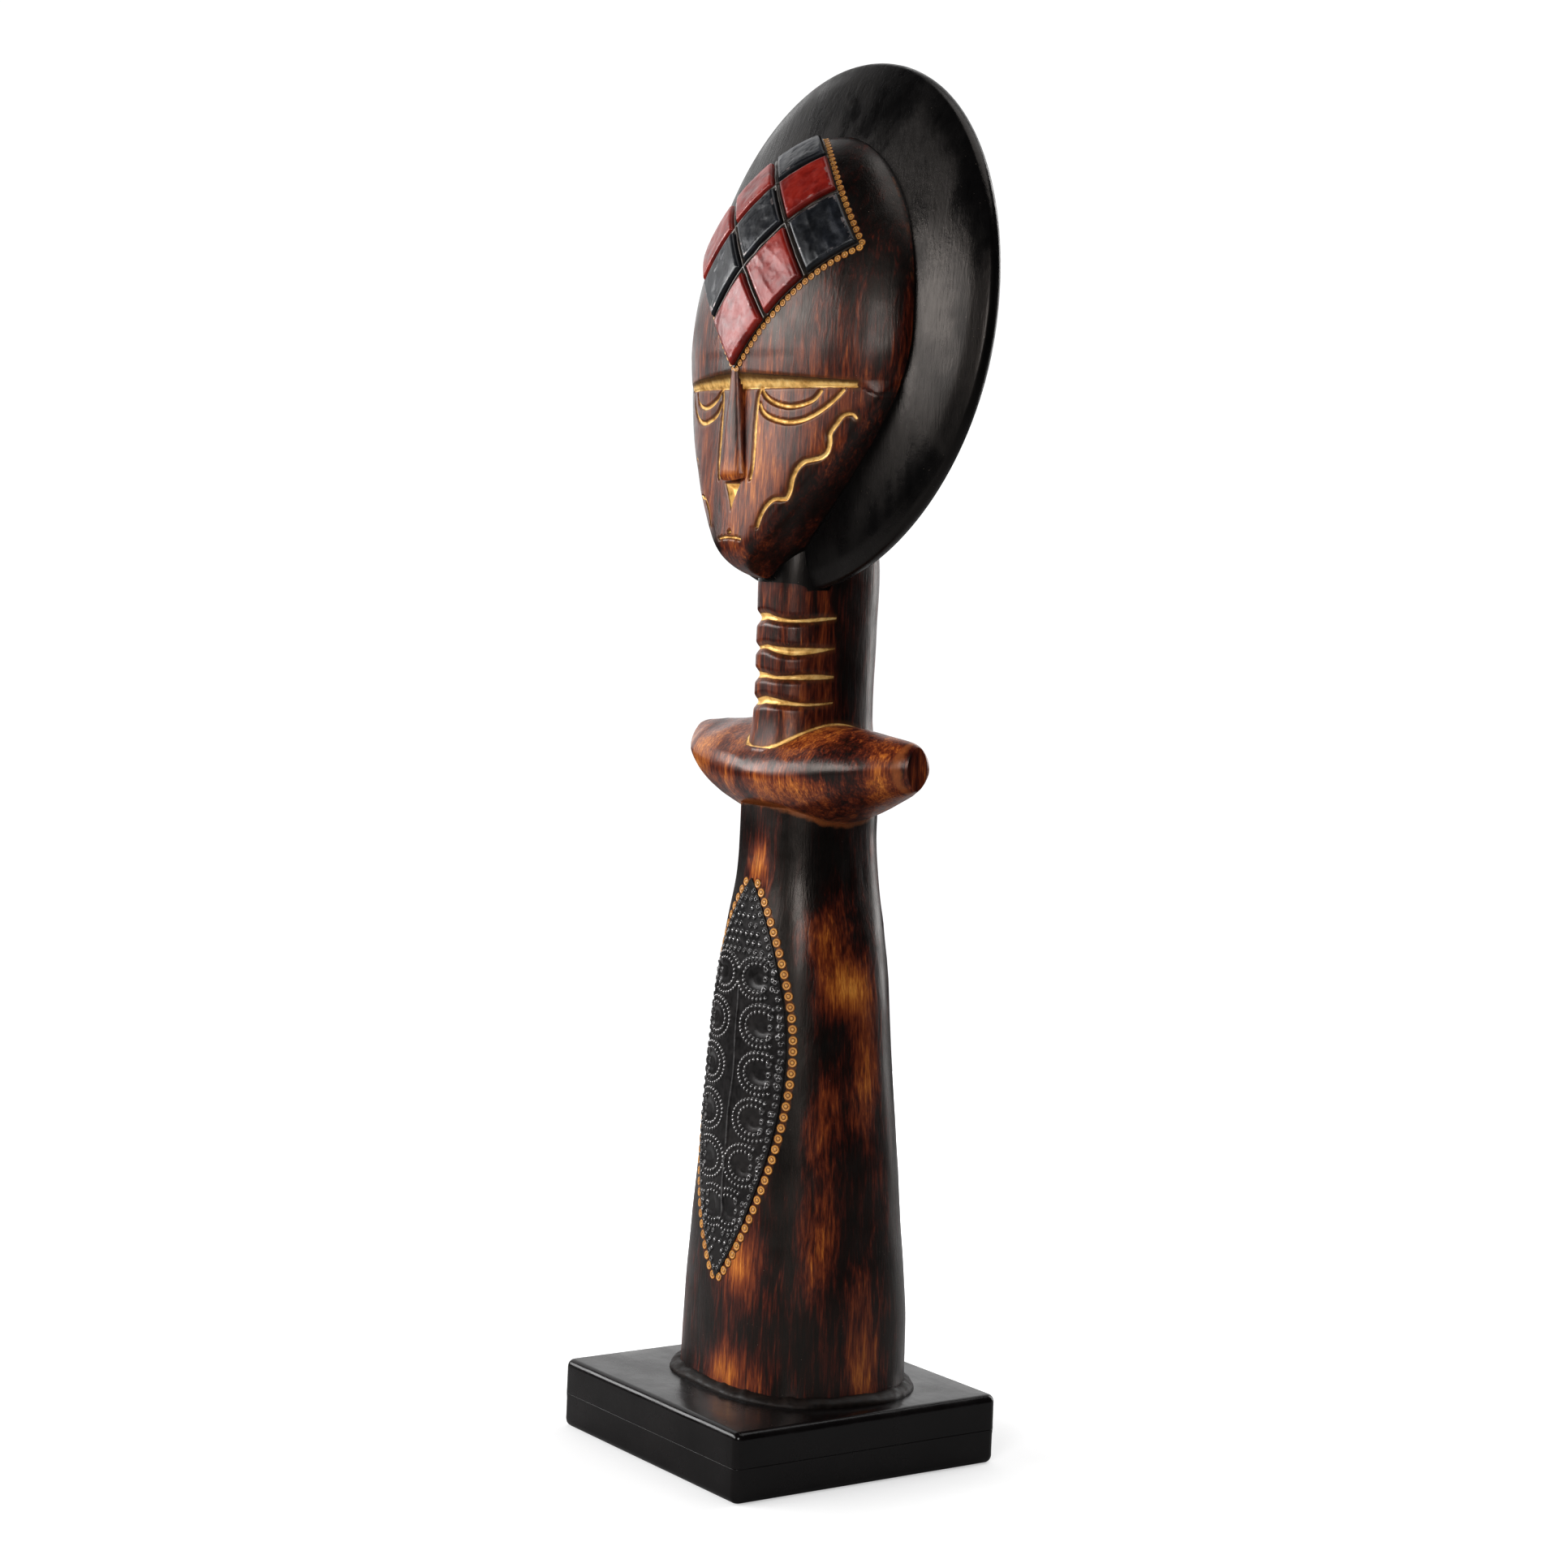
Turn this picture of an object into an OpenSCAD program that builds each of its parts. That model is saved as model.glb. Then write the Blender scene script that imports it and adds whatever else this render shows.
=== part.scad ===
// Carved wooden fertility doll on a two-board plinth, with nine foil tiles on the brow
// and an embossed sheet-metal dress plate. Millimetres. Origin: centre of the plinth's
// underside. The doll faces -Y, +Z is up and +X is to the right of someone facing the doll.

/* [Plinth] */
// Side of the square plinth
plinth_w = 100; // [90:1:110]
// Thickness of each of the two plinth boards
board_t = 11; // [9:0.5:14]
// Radius of the plinth's upright corners
corner_r = 3; // [1:0.5:5]
// Radius of the rounded long edges
edge_r = 2.5; // [1:0.5:4]

/* [Torso] */
// Half width of the torso at the foot
foot_half_w = 38.4; // [34:0.2:42]
// Half depth of the torso at the foot
foot_half_d = 31.6; // [28:0.2:34]
// Half width of the torso under the shoulders
waist_half_w = 20.6; // [18:0.2:24]
// How far the torso's middle stands behind the plinth's middle
torso_back = 3.4; // [2:0.1:5]
// Roundness of the sections, 2 for an ellipse and more for a squarer one
squareness = 2.4; // [2:0.1:3]

/* [Shoulders] */
// Half length of the shoulder bar
shoulder_half_l = 58.5; // [54:0.5:64]
// Height of the shoulder bar's middle
shoulder_z = 216; // [214:0.5:218]
// Half height of the shoulder bar in the middle
shoulder_half_h = 16.5; // [15:0.5:19]
// Half depth of the shoulder bar in the middle
shoulder_half_d = 23; // [20:0.5:26]

/* [Neck] */
// Half width of the neck
neck_half_w = 14.5; // [12:0.5:17]
// Half depth of the neck
neck_half_d = 19.8; // [17:0.2:22]
// Depth of the cuts between the neck rings
neck_cut = 1.1; // [0.4:0.1:2]

/* [Head disc] */
// Half width of the head disc
disc_half_w = 78; // [70:0.5:82]
// Half height of the head disc
disc_half_h = 82.8; // [78:0.2:84]
// Height of the head disc's middle
disc_z = 355.9; // [354:0.1:357]
// Thickness of the disc at its rim
rim_t = 6; // [4:0.5:8]
// How much the front swells towards the middle
front_swell = 15.6; // [12:0.2:18]
// How much the back swells towards the middle
back_swell = 9; // [6:0.5:12]

/* [Face] */
// Half width of the face at its widest
face_half_w = 54.5; // [48:0.5:58]
// Height of the brow edge
brow_z = 337.5; // [335:0.5:340]
// Height of the top of the face
face_top_z = 415; // [410:0.5:418]
// How far forward of the plinth's middle the brow stands
brow_front = 32; // [30:0.5:36]
// How far forward the cheeks stand in the middle
cheek_front = 30; // [28:0.5:32]

/* [Brow tiles] */
// Half width of the channel between two tiles, as a share of a tile's pitch
channel = 0.055; // [0.03:0.005:0.12]
// Height of a tile over the sheet it sits on
tile_h = 1.9; // [1:0.1:2.6]
// Thickness of the sheet under the tiles
sheet_t = 0.6; // [0.4:0.1:1]

/* [Dress plate] */
// Height of the plate's lower tip
plate_low_z = 57; // [50:0.5:64]
// Height of the plate's upper tip
plate_high_z = 183; // [176:0.5:188]
// Half width of the plate at its widest
plate_half_w = 21; // [17:0.5:23]
// Thickness of the plate
plate_t = 0.8; // [0.5:0.1:1.2]

/* [Fixings] */
// Radius of the screw shanks
screw_r = 2; // [1.5:0.1:2.5]
// Length of the screws
screw_l = 44; // [36:1:50]
// Distance between the two screws
screw_gap = 30; // [24:1:36]

/* [Hidden] */
TILE_NAMES = [
    ["brow_tile_bottom_red", "brow_tile_low_left_black", "brow_tile_left_red"],
    ["brow_tile_low_right_red", "brow_tile_centre_black", "brow_tile_high_left_red"],
    ["brow_tile_right_black", "brow_tile_high_right_red", "brow_tile_top_black"]
];

WOOD = [0.24, 0.14, 0.09];
LACQUER = [0.03, 0.03, 0.035];
TILE_RED = [0.5, 0.09, 0.07];
TILE_BLACK = [0.07, 0.08, 0.1];
STEEL = [0.72, 0.72, 0.74];

TILE_IS_RED = [[true, false, true], [true, false, true], [false, true, false]];
// Tiles along each edge of the rhombus
tiles = len(TILE_NAMES);

plinth_h = 2 * board_t;
// Clear space between the wood and what lies on it
skin_gap = 0.06;
ring_sides = 36;
bead_h = 3.5;
bead_w = 3.2;

// Torso stations: height, half width, half depth and middle, from the foot to the shoulders
TORSO = [
    [plinth_h, foot_half_w, foot_half_d, torso_back + 1.5],
    [plinth_h + bead_h, foot_half_w - 0.1, foot_half_d - 0.1, torso_back + 1.5],
    [50, foot_half_w - 0.6, foot_half_d - 0.6, torso_back + 1.4],
    [75, foot_half_w - 3, foot_half_d - 2.3, torso_back + 0.8],
    [100, foot_half_w - 5.2, foot_half_d - 4, torso_back + 0.4],
    [125, waist_half_w + 9.8, waist_half_w + 5.4, torso_back],
    [152, waist_half_w + 7, waist_half_w + 3.8, torso_back - 0.2],
    [168, waist_half_w + 4.4, waist_half_w + 2.2, torso_back - 0.2],
    [183, waist_half_w + 1, waist_half_w + 0.7, torso_back - 0.1],
    [196, waist_half_w, waist_half_w, torso_back - 0.6],
    [206, waist_half_w, waist_half_w, torso_back - 0.6]
];

// Shoulder stations: place along X, half depth, half height, middle height and middle depth
SHOULDERS = [
    [0, shoulder_half_d, shoulder_half_h, shoulder_z, 1.5],
    [15, shoulder_half_d - 0.5, shoulder_half_h - 0.5, shoulder_z + 0.3, 1.5],
    [30, shoulder_half_d - 3.5, shoulder_half_h - 2.6, shoulder_z + 2, 1.2],
    [45, shoulder_half_d - 9.5, shoulder_half_h - 6, shoulder_z + 4, 0.8],
    [shoulder_half_l - 4, shoulder_half_d - 15.5, shoulder_half_h - 8.4, shoulder_z + 5.4, 0.5],
    [shoulder_half_l, shoulder_half_d - 19.2, shoulder_half_h - 9.8, shoulder_z + 5.7, 0.3]
];

// Neck stations: height, half width, half depth and middle, up to where it dies into the disc
NECK = [
    [222, neck_half_w + 2, neck_half_d + 1.2, 2.8],
    [234, neck_half_w + 0.3, neck_half_d - 0.2, 2.8],
    [262, neck_half_w - 0.1, neck_half_d, 3],
    [283, neck_half_w - 0.1, neck_half_d, 3],
    [300, neck_half_w - 1, neck_half_d - 3.4, 2.6],
    [316, neck_half_w - 3.5, neck_half_d - 8.5, 3.4],
    [330, neck_half_w - 7, neck_half_d - 13, 4.6]
];
NECK_CUTS = [239, 247, 255.5, 265];

// Value of column c of a list of stations at place s, eased smoothly from one to the next
function span_at(rows, s, i = 0) = i >= len(rows) - 2 || s <= rows[i + 1][0] ? i : span_at(rows, s, i + 1);
function slope_at(rows, c, i) =
    i == 0 ? (rows[1][c] - rows[0][c]) / (rows[1][0] - rows[0][0])
    : i == len(rows) - 1 ? (rows[i][c] - rows[i - 1][c]) / (rows[i][0] - rows[i - 1][0])
    : (rows[i + 1][c] - rows[i - 1][c]) / (rows[i + 1][0] - rows[i - 1][0]);
function eased(rows, c, s) =
    let(
        i = span_at(rows, s),
        run = rows[i + 1][0] - rows[i][0],
        t = (s - rows[i][0]) / run
    )
    rows[i][c] * (2 * t ^ 3 - 3 * t ^ 2 + 1)
    + slope_at(rows, c, i) * run * (t ^ 3 - 2 * t ^ 2 + t)
    + rows[i + 1][c] * (3 * t ^ 2 - 2 * t ^ 3)
    + slope_at(rows, c, i + 1) * run * (t ^ 3 - t ^ 2);

// One point of a rounded section with half sizes a and b
function signed_power(v, p) = sign(v) * abs(v) ^ p;
function section_point(a, b, n, angle) =
    [a * signed_power(cos(angle), 2 / n), b * signed_power(sin(angle), 2 / n)];

// Faces of a closed skin through rings that all have the same number of points
function skin_faces(rings, sides) = concat(
    [[for (i = [0:sides - 1]) i]],
    [for (r = [0:rings - 2], i = [0:sides - 1])
        let(a = r * sides + i, b = r * sides + (i + 1) % sides)
        [b + sides, b, a]],
    [for (r = [0:rings - 2], i = [0:sides - 1])
        let(a = r * sides + i, b = r * sides + (i + 1) % sides)
        [a + sides, b + sides, a]],
    [[for (i = [sides - 1:-1:0]) (rings - 1) * sides + i]]
);
function joined(rings) = [for (ring = rings) each ring];
module skin(rings) {
    polyhedron(points = joined(rings), faces = skin_faces(len(rings), len(rings[0])), convexity = 6);
}

// Torso
function torso_ring(z) =
    let(a = eased(TORSO, 1, z), b = eased(TORSO, 2, z), back = eased(TORSO, 3, z))
    [for (i = [0:ring_sides - 1])
        let(p = section_point(a, b, squareness, 360 * i / ring_sides))
        [p[0], p[1] + back, z]];
function torso_front(x, z) =
    let(a = eased(TORSO, 1, z), b = eased(TORSO, 2, z), back = eased(TORSO, 3, z))
    back - b * max(0, 1 - abs(x / a) ^ squareness) ^ (1 / squareness);
TORSO_HEIGHTS = concat([plinth_h, plinth_h + bead_h], [for (z = [36:12:205]) z], [206]);
module torso() {
    skin([for (z = TORSO_HEIGHTS) torso_ring(z)]);
}

// Shoulder bar, a rounded lozenge from tip to tip
shoulder_sides = 24;
shoulder_squareness = 1.75;
shoulder_rings = 11;
function shoulder_ring(x) =
    let(
        d = eased(SHOULDERS, 1, abs(x)),
        h = eased(SHOULDERS, 2, abs(x)),
        z = eased(SHOULDERS, 3, abs(x)),
        back = eased(SHOULDERS, 4, abs(x))
    )
    [for (i = [0:shoulder_sides - 1])
        let(p = section_point(d, h, shoulder_squareness, 360 * i / shoulder_sides))
        [x, back + p[0], z + p[1]]];
module shoulders() {
    skin([for (i = [-shoulder_rings:shoulder_rings - 1])
        shoulder_ring(shoulder_half_l * (i + 0.5) / (shoulder_rings - 0.5))]);
}

// Neck, with four shallow cuts round the front that fade out on the sides
cut_half_h = 2;
function cut_depth(z, angle) =
    let(
        near = min([for (c = NECK_CUTS) abs(z - c)]),
        front = max(0, min(1, 0.6 - sin(angle) * 1.3))
    )
    neck_cut * front * max(0, 1 - near / cut_half_h);
function neck_ring(z) =
    let(a = eased(NECK, 1, z), b = eased(NECK, 2, z), back = eased(NECK, 3, z))
    [for (i = [0:ring_sides - 1])
        let(
            t = 360 * i / ring_sides,
            cut = cut_depth(z, t),
            p = section_point(a - cut, b - cut, squareness, t)
        )
        [p[0], p[1] + back, z]];
NECK_HEIGHTS = concat(
    [222, 228, 234],
    [for (c = NECK_CUTS) each [c - cut_half_h, c, c + cut_half_h]],
    [272, 278, 284, 292, 300, 308, 316, 323, 330]
);
module neck() {
    skin([for (z = NECK_HEIGHTS) neck_ring(z)]);
}

// Head disc: a lens leaning back, slightly bent forward in its lower part
function disc_mid(z) = 7.4 + 0.098 * (z - 367) - 0.0007 * max(0, 355 - z) ^ 2;
function disc_reach(x, z) = min(1, (x / disc_half_w) ^ 2 + ((z - disc_z) / disc_half_h) ^ 2);
function disc_front(x, z) = disc_mid(z) - rim_t / 2 - front_swell * (1 - disc_reach(x, z));
function disc_back(x, z) = disc_mid(z) + rim_t / 2 + back_swell * (1 - disc_reach(x, z));
disc_sides = 48;
DISC_SHARES = [0.1, 0.3, 0.5, 0.68, 0.82, 0.92, 0.98];
// The rim's own rings stand this far from its middle, in half thicknesses
rim_round = 0.55;
function disc_ring(share, side) =
    [for (i = [0:disc_sides - 1])
        let(
            t = -360 * (i + 0.5) / disc_sides,
            x = disc_half_w * share * cos(t),
            z = disc_z + disc_half_h * share * sin(t),
            depth = rim_t / 2 + (side < 0 ? front_swell : back_swell) * (1 - share ^ 2)
        )
        [x, disc_mid(z) + side * depth, z]];
module head_disc() {
    skin(concat(
        [for (share = DISC_SHARES) disc_ring(share, -1)],
        [disc_ring(1, -rim_round), disc_ring(1, rim_round)],
        [for (k = [len(DISC_SHARES) - 1:-1:0]) disc_ring(DISC_SHARES[k], 1)]
    ));
}

// Face: a domed brow over flatter, recessed cheeks that narrow to a chin
face_low_z = 277;
face_wide_z = 350;
chin_half_w = 2.5;
// Powers that set how the face's outline, brow and cheeks curve
OUTLINE_TOP = 2.1;
OUTLINE_JAW = [1.8, 1.15];
BROW_RISE = [2.6, 0.75];
BROW_SIDES = [1.8, 0.56];
CHEEK_SIDES = 7;
// Radius of the cheeks' curve from side to side, and how far the muzzle stands out over its height
cheek_curve_r = 82.5;
muzzle = 2.6;
muzzle_h = 62;
chin_h = 9;
function face_half(z) =
    z >= face_wide_z
    ? face_half_w * sqrt(max(0.0001, 1 - ((z - face_wide_z) / (face_top_z - face_wide_z)) ^ OUTLINE_TOP))
    : let(down = (face_wide_z - z) / (face_wide_z - face_low_z))
        chin_half_w + (face_half_w - chin_half_w) * max(0, 1 - down ^ OUTLINE_JAW[0]) ^ OUTLINE_JAW[1];
function face_edge(z) = disc_front(face_half(z), z);
function brow_profile(z) =
    let(s = max(0, min(1, (z - brow_z) / (face_top_z - brow_z))))
    face_edge(face_top_z) - (face_edge(face_top_z) + brow_front) * (1 - s ^ BROW_RISE[0]) ^ BROW_RISE[1];
function brow_surface(x, z) =
    let(edge = face_edge(z), share = min(1, abs(x) / face_half(z)))
    edge - max(0.2, edge - brow_profile(z)) * max(0, 1 - share ^ BROW_SIDES[0]) ^ BROW_SIDES[1];
function cheek_surface(x, z) =
    let(
        edge = face_edge(z),
        share = min(1, abs(x) / face_half(z)),
        chin = max(0, min(1, (z - face_low_z + 1.5) / chin_h)),
        mid = -cheek_front - muzzle * (1 - min(1, (z - face_low_z) / muzzle_h)),
        plane = mid + x ^ 2 / (2 * cheek_curve_r)
    )
    edge + (min(plane, edge) - edge) * (1 - share ^ CHEEK_SIDES) ^ (1 / CHEEK_SIDES) * sqrt(chin);
function face_surface(x, z) = z > brow_z ? brow_surface(x, z) : cheek_surface(x, z);
face_sides = 30;
// How deep the edge of the face is rooted in the disc
face_root = 1.6;
function face_ring(z, below) =
    let(half = face_half(z))
    concat(
        [for (i = [0:face_sides])
            let(
                x = -half * cos(180 * i / face_sides),
                front = below ? cheek_surface(x, z) : brow_surface(x, z),
                root = i % face_sides == 0 ? face_root : 0
            )
            [x, front + root, z]],
        [for (side = [1, -1]) [side * half * 0.9, face_edge(z) + 2 * face_root, z]]
    );
// The brow stands over the cheeks as a shelf, whose slope starts this far below its edge
shelf_h = 3;
CHEEK_HEIGHTS = concat(
    [face_low_z, face_low_z + 2, face_low_z + 4, face_low_z + 7],
    [for (z = [288:5:brow_z - 5]) z],
    [brow_z - shelf_h]
);
BROW_HEIGHTS = concat(
    [brow_z + 0.5],
    [for (z = [343:3.5:392]) z],
    [for (drop = [20, 17, 14, 11, 8, 5.5, 3.5, 2, 1]) face_top_z - drop]
);
module face() {
    skin(concat(
        [for (z = CHEEK_HEIGHTS) face_ring(z, true)],
        [for (z = BROW_HEIGHTS) face_ring(z, false)]
    ));
}

// Nose: a wedge that widens and stands further out towards its flat underside
nose_top_z = brow_z + 1;
nose_low_z = 306.5;
// Half width and forward reach of the nose: front and root of its underside, and its top
NOSE_TIP = [5.6, 34];
NOSE_ROOT = [7.2, 29];
NOSE_TOP = [1.7, 32.6];
module nose_block(size, z) {
    translate([-size[0], -size[1], z])
        cube([2 * size[0], 5, 1]);
}
module nose() {
    hull() {
        nose_block(NOSE_TIP, nose_low_z);
        nose_block(NOSE_ROOT, nose_low_z);
        nose_block(NOSE_TOP, nose_top_z - 1);
    }
}

// Round pilot holes that the plinth screws hold in
module pilots(r, low, high) {
    for (side = [-1, 1])
        translate([side * screw_gap / 2, torso_back, low])
            cylinder(h = high - low, r = r, $fn = 48);
}
screw_low = 4;
figure_top = disc_z + disc_half_h;
module figure_carving() {
    color(WOOD)
        difference() {
            // The disc's outline has a flat at the very top, so the whole is stretched a hair to its height
            resize([0, 0, figure_top - plinth_h])
                union() {
                    torso();
                    shoulders();
                    neck();
                    head_disc();
                    face();
                    nose();
                }
            pilots(screw_r + 0.05, plinth_h - 1, screw_low + screw_l + 1);
        }
}

// Plinth boards, glued face to face, with the outer long edges rounded
module corner_post(h) {
    rotate_extrude($fn = 32)
        polygon(concat(
            [[0, 0], [corner_r, 0]],
            [for (t = [0:15:90])
                [corner_r - min(edge_r, corner_r) * (1 - cos(t)), h - edge_r * (1 - sin(t))]],
            [[0, h]]
        ));
}
module board() {
    inset = plinth_w / 2 - corner_r;
    hull()
        for (x = [-inset, inset], y = [-inset, inset])
            translate([x, y, 0])
                corner_post(board_t);
}
module plinth_upper_board() {
    color(LACQUER)
        difference() {
            translate([0, 0, board_t])
                board();
            pilots(screw_r + 0.2, board_t - 1, plinth_h + 1);
        }
}
head_r = 2 * screw_r;
head_h = 2.4;
point_l = 2 * screw_r;
slot_w = 0.9;
module plinth_lower_board() {
    color(LACQUER)
        difference() {
            translate([0, 0, board_t])
                mirror([0, 0, 1])
                    board();
            pilots(screw_r + 0.2, -1, board_t + 1);
            pilots(head_r + 0.3, -1, screw_low);
        }
}
module plinth_screws() {
    color(STEEL)
        for (side = [-1, 1])
            translate([side * screw_gap / 2, torso_back, 0])
                difference() {
                    union() {
                        translate([0, 0, screw_low - head_h])
                            cylinder(h = head_h, r = head_r, $fn = 48);
                        translate([0, 0, screw_low])
                            cylinder(h = screw_l - point_l, r = screw_r, $fn = 48);
                        translate([0, 0, screw_low + screw_l - point_l])
                            cylinder(h = point_l, r1 = screw_r, r2 = 0.2, $fn = 48);
                    }
                    for (turn = [0, 90])
                        translate([0, 0, screw_low - head_h])
                            rotate([0, 0, turn])
                                cube([head_r * 1.2, slot_w, head_h], center = true);
                }
}

// Bead of set glue in the corner between the torso's foot and the plinth
// Reach and height of the bead's outer points, in shares of its width and height
BEAD_PROFILE = [[1, 0], [0.85, 0.45], [0.45, 0.85]];
function bead_ring(i) =
    let(
        foot = torso_ring(plinth_h)[i],
        out = [foot[0], foot[1] - torso_back] / norm([foot[0], foot[1] - torso_back]),
        turn = 360 * i / ring_sides,
        reach = bead_w * (1 + 0.12 * sin(5 * turn) + 0.08 * sin(9 * turn + 40))
    )
    concat(
        [foot],
        [for (p = BEAD_PROFILE)
            [foot[0] + out[0] * reach * p[0], foot[1] + out[1] * reach * p[0], plinth_h + bead_h * p[1]]],
        [torso_ring(plinth_h + bead_h)[i]]
    );
module foot_glue_bead() {
    rings = [for (i = [0:ring_sides - 1]) bead_ring(i)];
    count = len(rings[0]);
    color(LACQUER)
        polyhedron(
            points = joined(rings),
            faces = [for (r = [0:ring_sides - 1], i = [0:count - 1], half = [0, 1])
                let(
                    a = r * count + i,
                    b = r * count + (i + 1) % count,
                    c = ((r + 1) % ring_sides) * count + i,
                    d = ((r + 1) % ring_sides) * count + (i + 1) % count
                )
                half == 0 ? [d, c, a] : [b, d, a]],
            convexity = 4
        );
}

// Rhombus on the brow: p and q run along its two lower edges from the bottom tip, a tile each.
tile_half_w = 13.2;
tile_rise = 15.6;
// How far the rhombus' bottom tip stands over the brow's edge
tile_foot = 4;
// How much the rows close up towards the top, and droop towards the sides
row_closing = 0.101;
row_droop = 0.0048;
function tile_height(k) = brow_z + tile_foot + tile_rise * k - row_closing * k ^ 3;
function brow_place(p, q) =
    let(x = (p - q) * tile_half_w)
    [x, tile_height(p + q) - row_droop * x ^ 2];
function brow_point(x, z) = [x, brow_surface(x, z), z];
function unit(v) = v / norm(v);
function brow_outward(x, z) =
    unit(cross(
        brow_point(x + 0.5, z) - brow_point(x - 0.5, z),
        brow_point(x, z + 0.5) - brow_point(x, z - 0.5)
    ));
function over_brow(p, q, height) =
    let(at = brow_place(p, q))
    brow_point(at[0], at[1]) + brow_outward(at[0], at[1]) * height;

// A pad on the brow, p and q its start and end along the two edges of the rhombus. It reaches from the
// low height to the top one, and is rounded down to the edge height round its sides.
pad_round = 1.6;
function pad_height(i, j, n, edge, top) =
    let(s = min(i, j, n - i, n - j))
    edge + (top - edge) * min(1, s / pad_round) ^ 0.6;
module brow_pad(p, q, low, edge, top, n) {
    run_p = (p[1] - p[0]) / n;
    run_q = (q[1] - q[0]) / n;
    lower = [for (i = [0:n], j = [0:n]) over_brow(p[0] + run_p * i, q[0] + run_q * j, low)];
    upper = [for (i = [0:n], j = [0:n])
        over_brow(p[0] + run_p * i, q[0] + run_q * j, pad_height(i, j, n, edge, top))];
    m = n + 1;
    up = m * m;
    grid = [for (i = [0:n - 1], j = [0:n - 1])
        let(a = i * m + j)
        [a, a + m, a + m + 1, a + 1]];
    rim = concat(
        [for (i = [0:n - 1]) [i * m, (i + 1) * m]],
        [for (j = [0:n - 1]) [n * m + j, n * m + j + 1]],
        [for (i = [n:-1:1]) [i * m + n, (i - 1) * m + n]],
        [for (j = [n:-1:1]) [j, j - 1]]
    );
    polyhedron(
        points = concat(lower, upper),
        faces = concat(
            [for (g = grid) each [[g[0], g[1], g[2]], [g[0], g[2], g[3]]]],
            [for (g = grid) each [[g[2] + up, g[1] + up, g[0] + up], [g[3] + up, g[2] + up, g[0] + up]]],
            [for (e = rim) each [[e[1], e[0], e[0] + up], [e[1], e[0] + up, e[1] + up]]]
        ),
        convexity = 4
    );
}
// How far the sheet shows past the tiles, in tile pitches
sheet_edge = 0.015;
module brow_backing_sheet() {
    color(TILE_BLACK)
        brow_pad([-sheet_edge, tiles + sheet_edge], [-sheet_edge, tiles + sheet_edge],
            skin_gap, skin_gap + sheet_t, skin_gap + sheet_t, 18);
}
pad_gap = 0.02;
// A tile stops short of the channels, but runs out to the rhombus' own edge
function tile_span(i) = [i == 0 ? 0 : i + channel, i == tiles - 1 ? tiles : i + 1 - channel];
module brow_tile(i, j) {
    low = skin_gap + sheet_t + pad_gap;
    color(TILE_IS_RED[i][j] ? TILE_RED : TILE_BLACK)
        brow_pad(tile_span(i), tile_span(j), low, low + tile_h * 0.35, low + tile_h, 8);
}

// Dress plate: a pointed leaf of thin sheet wrapped over the torso's front
// Where up its height the plate is widest, and the powers of its outline
plate_wide_at = 0.53;
PLATE_CURVE = [2.1, 0.9];
plate_tip_w = 0.35;
function plate_half(z) =
    let(
        v = (z - plate_low_z) / (plate_high_z - plate_low_z),
        s = (v - plate_wide_at) / (v < plate_wide_at ? plate_wide_at : 1 - plate_wide_at)
    )
    max(plate_tip_w, plate_half_w * (1 - abs(s) ^ PLATE_CURVE[0]) ^ PLATE_CURVE[1]);
function torso_point(x, z) = [x, torso_front(x, z), z];
function torso_outward(x, z) =
    unit(cross(
        torso_point(x + 0.5, z) - torso_point(x - 0.5, z),
        torso_point(x, z + 0.5) - torso_point(x, z - 0.5)
    ));
function over_torso(x, z, height) = torso_point(x, z) + torso_outward(x, z) * height;
plate_rows = 34;
plate_cols = 14;
function plate_ring(z) =
    let(half = plate_half(z))
    concat(
        [for (i = [0:plate_cols]) over_torso(-half + 2 * half * i / plate_cols, z, skin_gap + plate_t)],
        [for (i = [plate_cols:-1:0]) over_torso(-half + 2 * half * i / plate_cols, z, skin_gap)]
    );
module dress_plate() {
    color(TILE_BLACK)
        skin([for (i = [0:plate_rows])
            plate_ring(plate_low_z + (plate_high_z - plate_low_z) * (1 - cos(180 * i / plate_rows)) / 2)]);
}

figure_carving();
plinth_upper_board();
plinth_lower_board();
foot_glue_bead();
plinth_screws();
brow_backing_sheet();
dress_plate();
brow_tile(0, 0);
brow_tile(0, 1);
brow_tile(0, 2);
brow_tile(1, 0);
brow_tile(1, 1);
brow_tile(1, 2);
brow_tile(2, 0);
brow_tile(2, 1);
brow_tile(2, 2);
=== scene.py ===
import math

import bmesh
import bpy
import numpy as np
from mathutils import Matrix, Vector
from mathutils.kdtree import KDTree


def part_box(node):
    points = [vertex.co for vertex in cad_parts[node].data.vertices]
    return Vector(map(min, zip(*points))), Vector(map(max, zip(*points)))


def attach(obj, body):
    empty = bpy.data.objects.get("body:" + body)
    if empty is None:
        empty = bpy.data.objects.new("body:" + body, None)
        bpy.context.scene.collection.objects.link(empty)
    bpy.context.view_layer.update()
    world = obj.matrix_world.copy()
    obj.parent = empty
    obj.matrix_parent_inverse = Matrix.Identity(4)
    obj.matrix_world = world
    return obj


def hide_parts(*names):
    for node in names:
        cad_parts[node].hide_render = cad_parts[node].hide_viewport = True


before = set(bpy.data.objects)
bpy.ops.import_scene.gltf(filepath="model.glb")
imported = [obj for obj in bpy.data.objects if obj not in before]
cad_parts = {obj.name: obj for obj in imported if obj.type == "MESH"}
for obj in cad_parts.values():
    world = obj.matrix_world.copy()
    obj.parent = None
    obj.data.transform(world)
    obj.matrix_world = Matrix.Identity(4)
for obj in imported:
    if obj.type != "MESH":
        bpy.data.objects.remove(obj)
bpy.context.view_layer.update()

# Shapes are worked out in millimetres, in the frame's axes, and turned into metres when a mesh is made.
MM = 0.001


def node_box(node):
    """Lowest and highest corner of a CAD node, in millimetres."""
    low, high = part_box(node)
    return np.array(low) / MM, np.array(high) / MM


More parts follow.
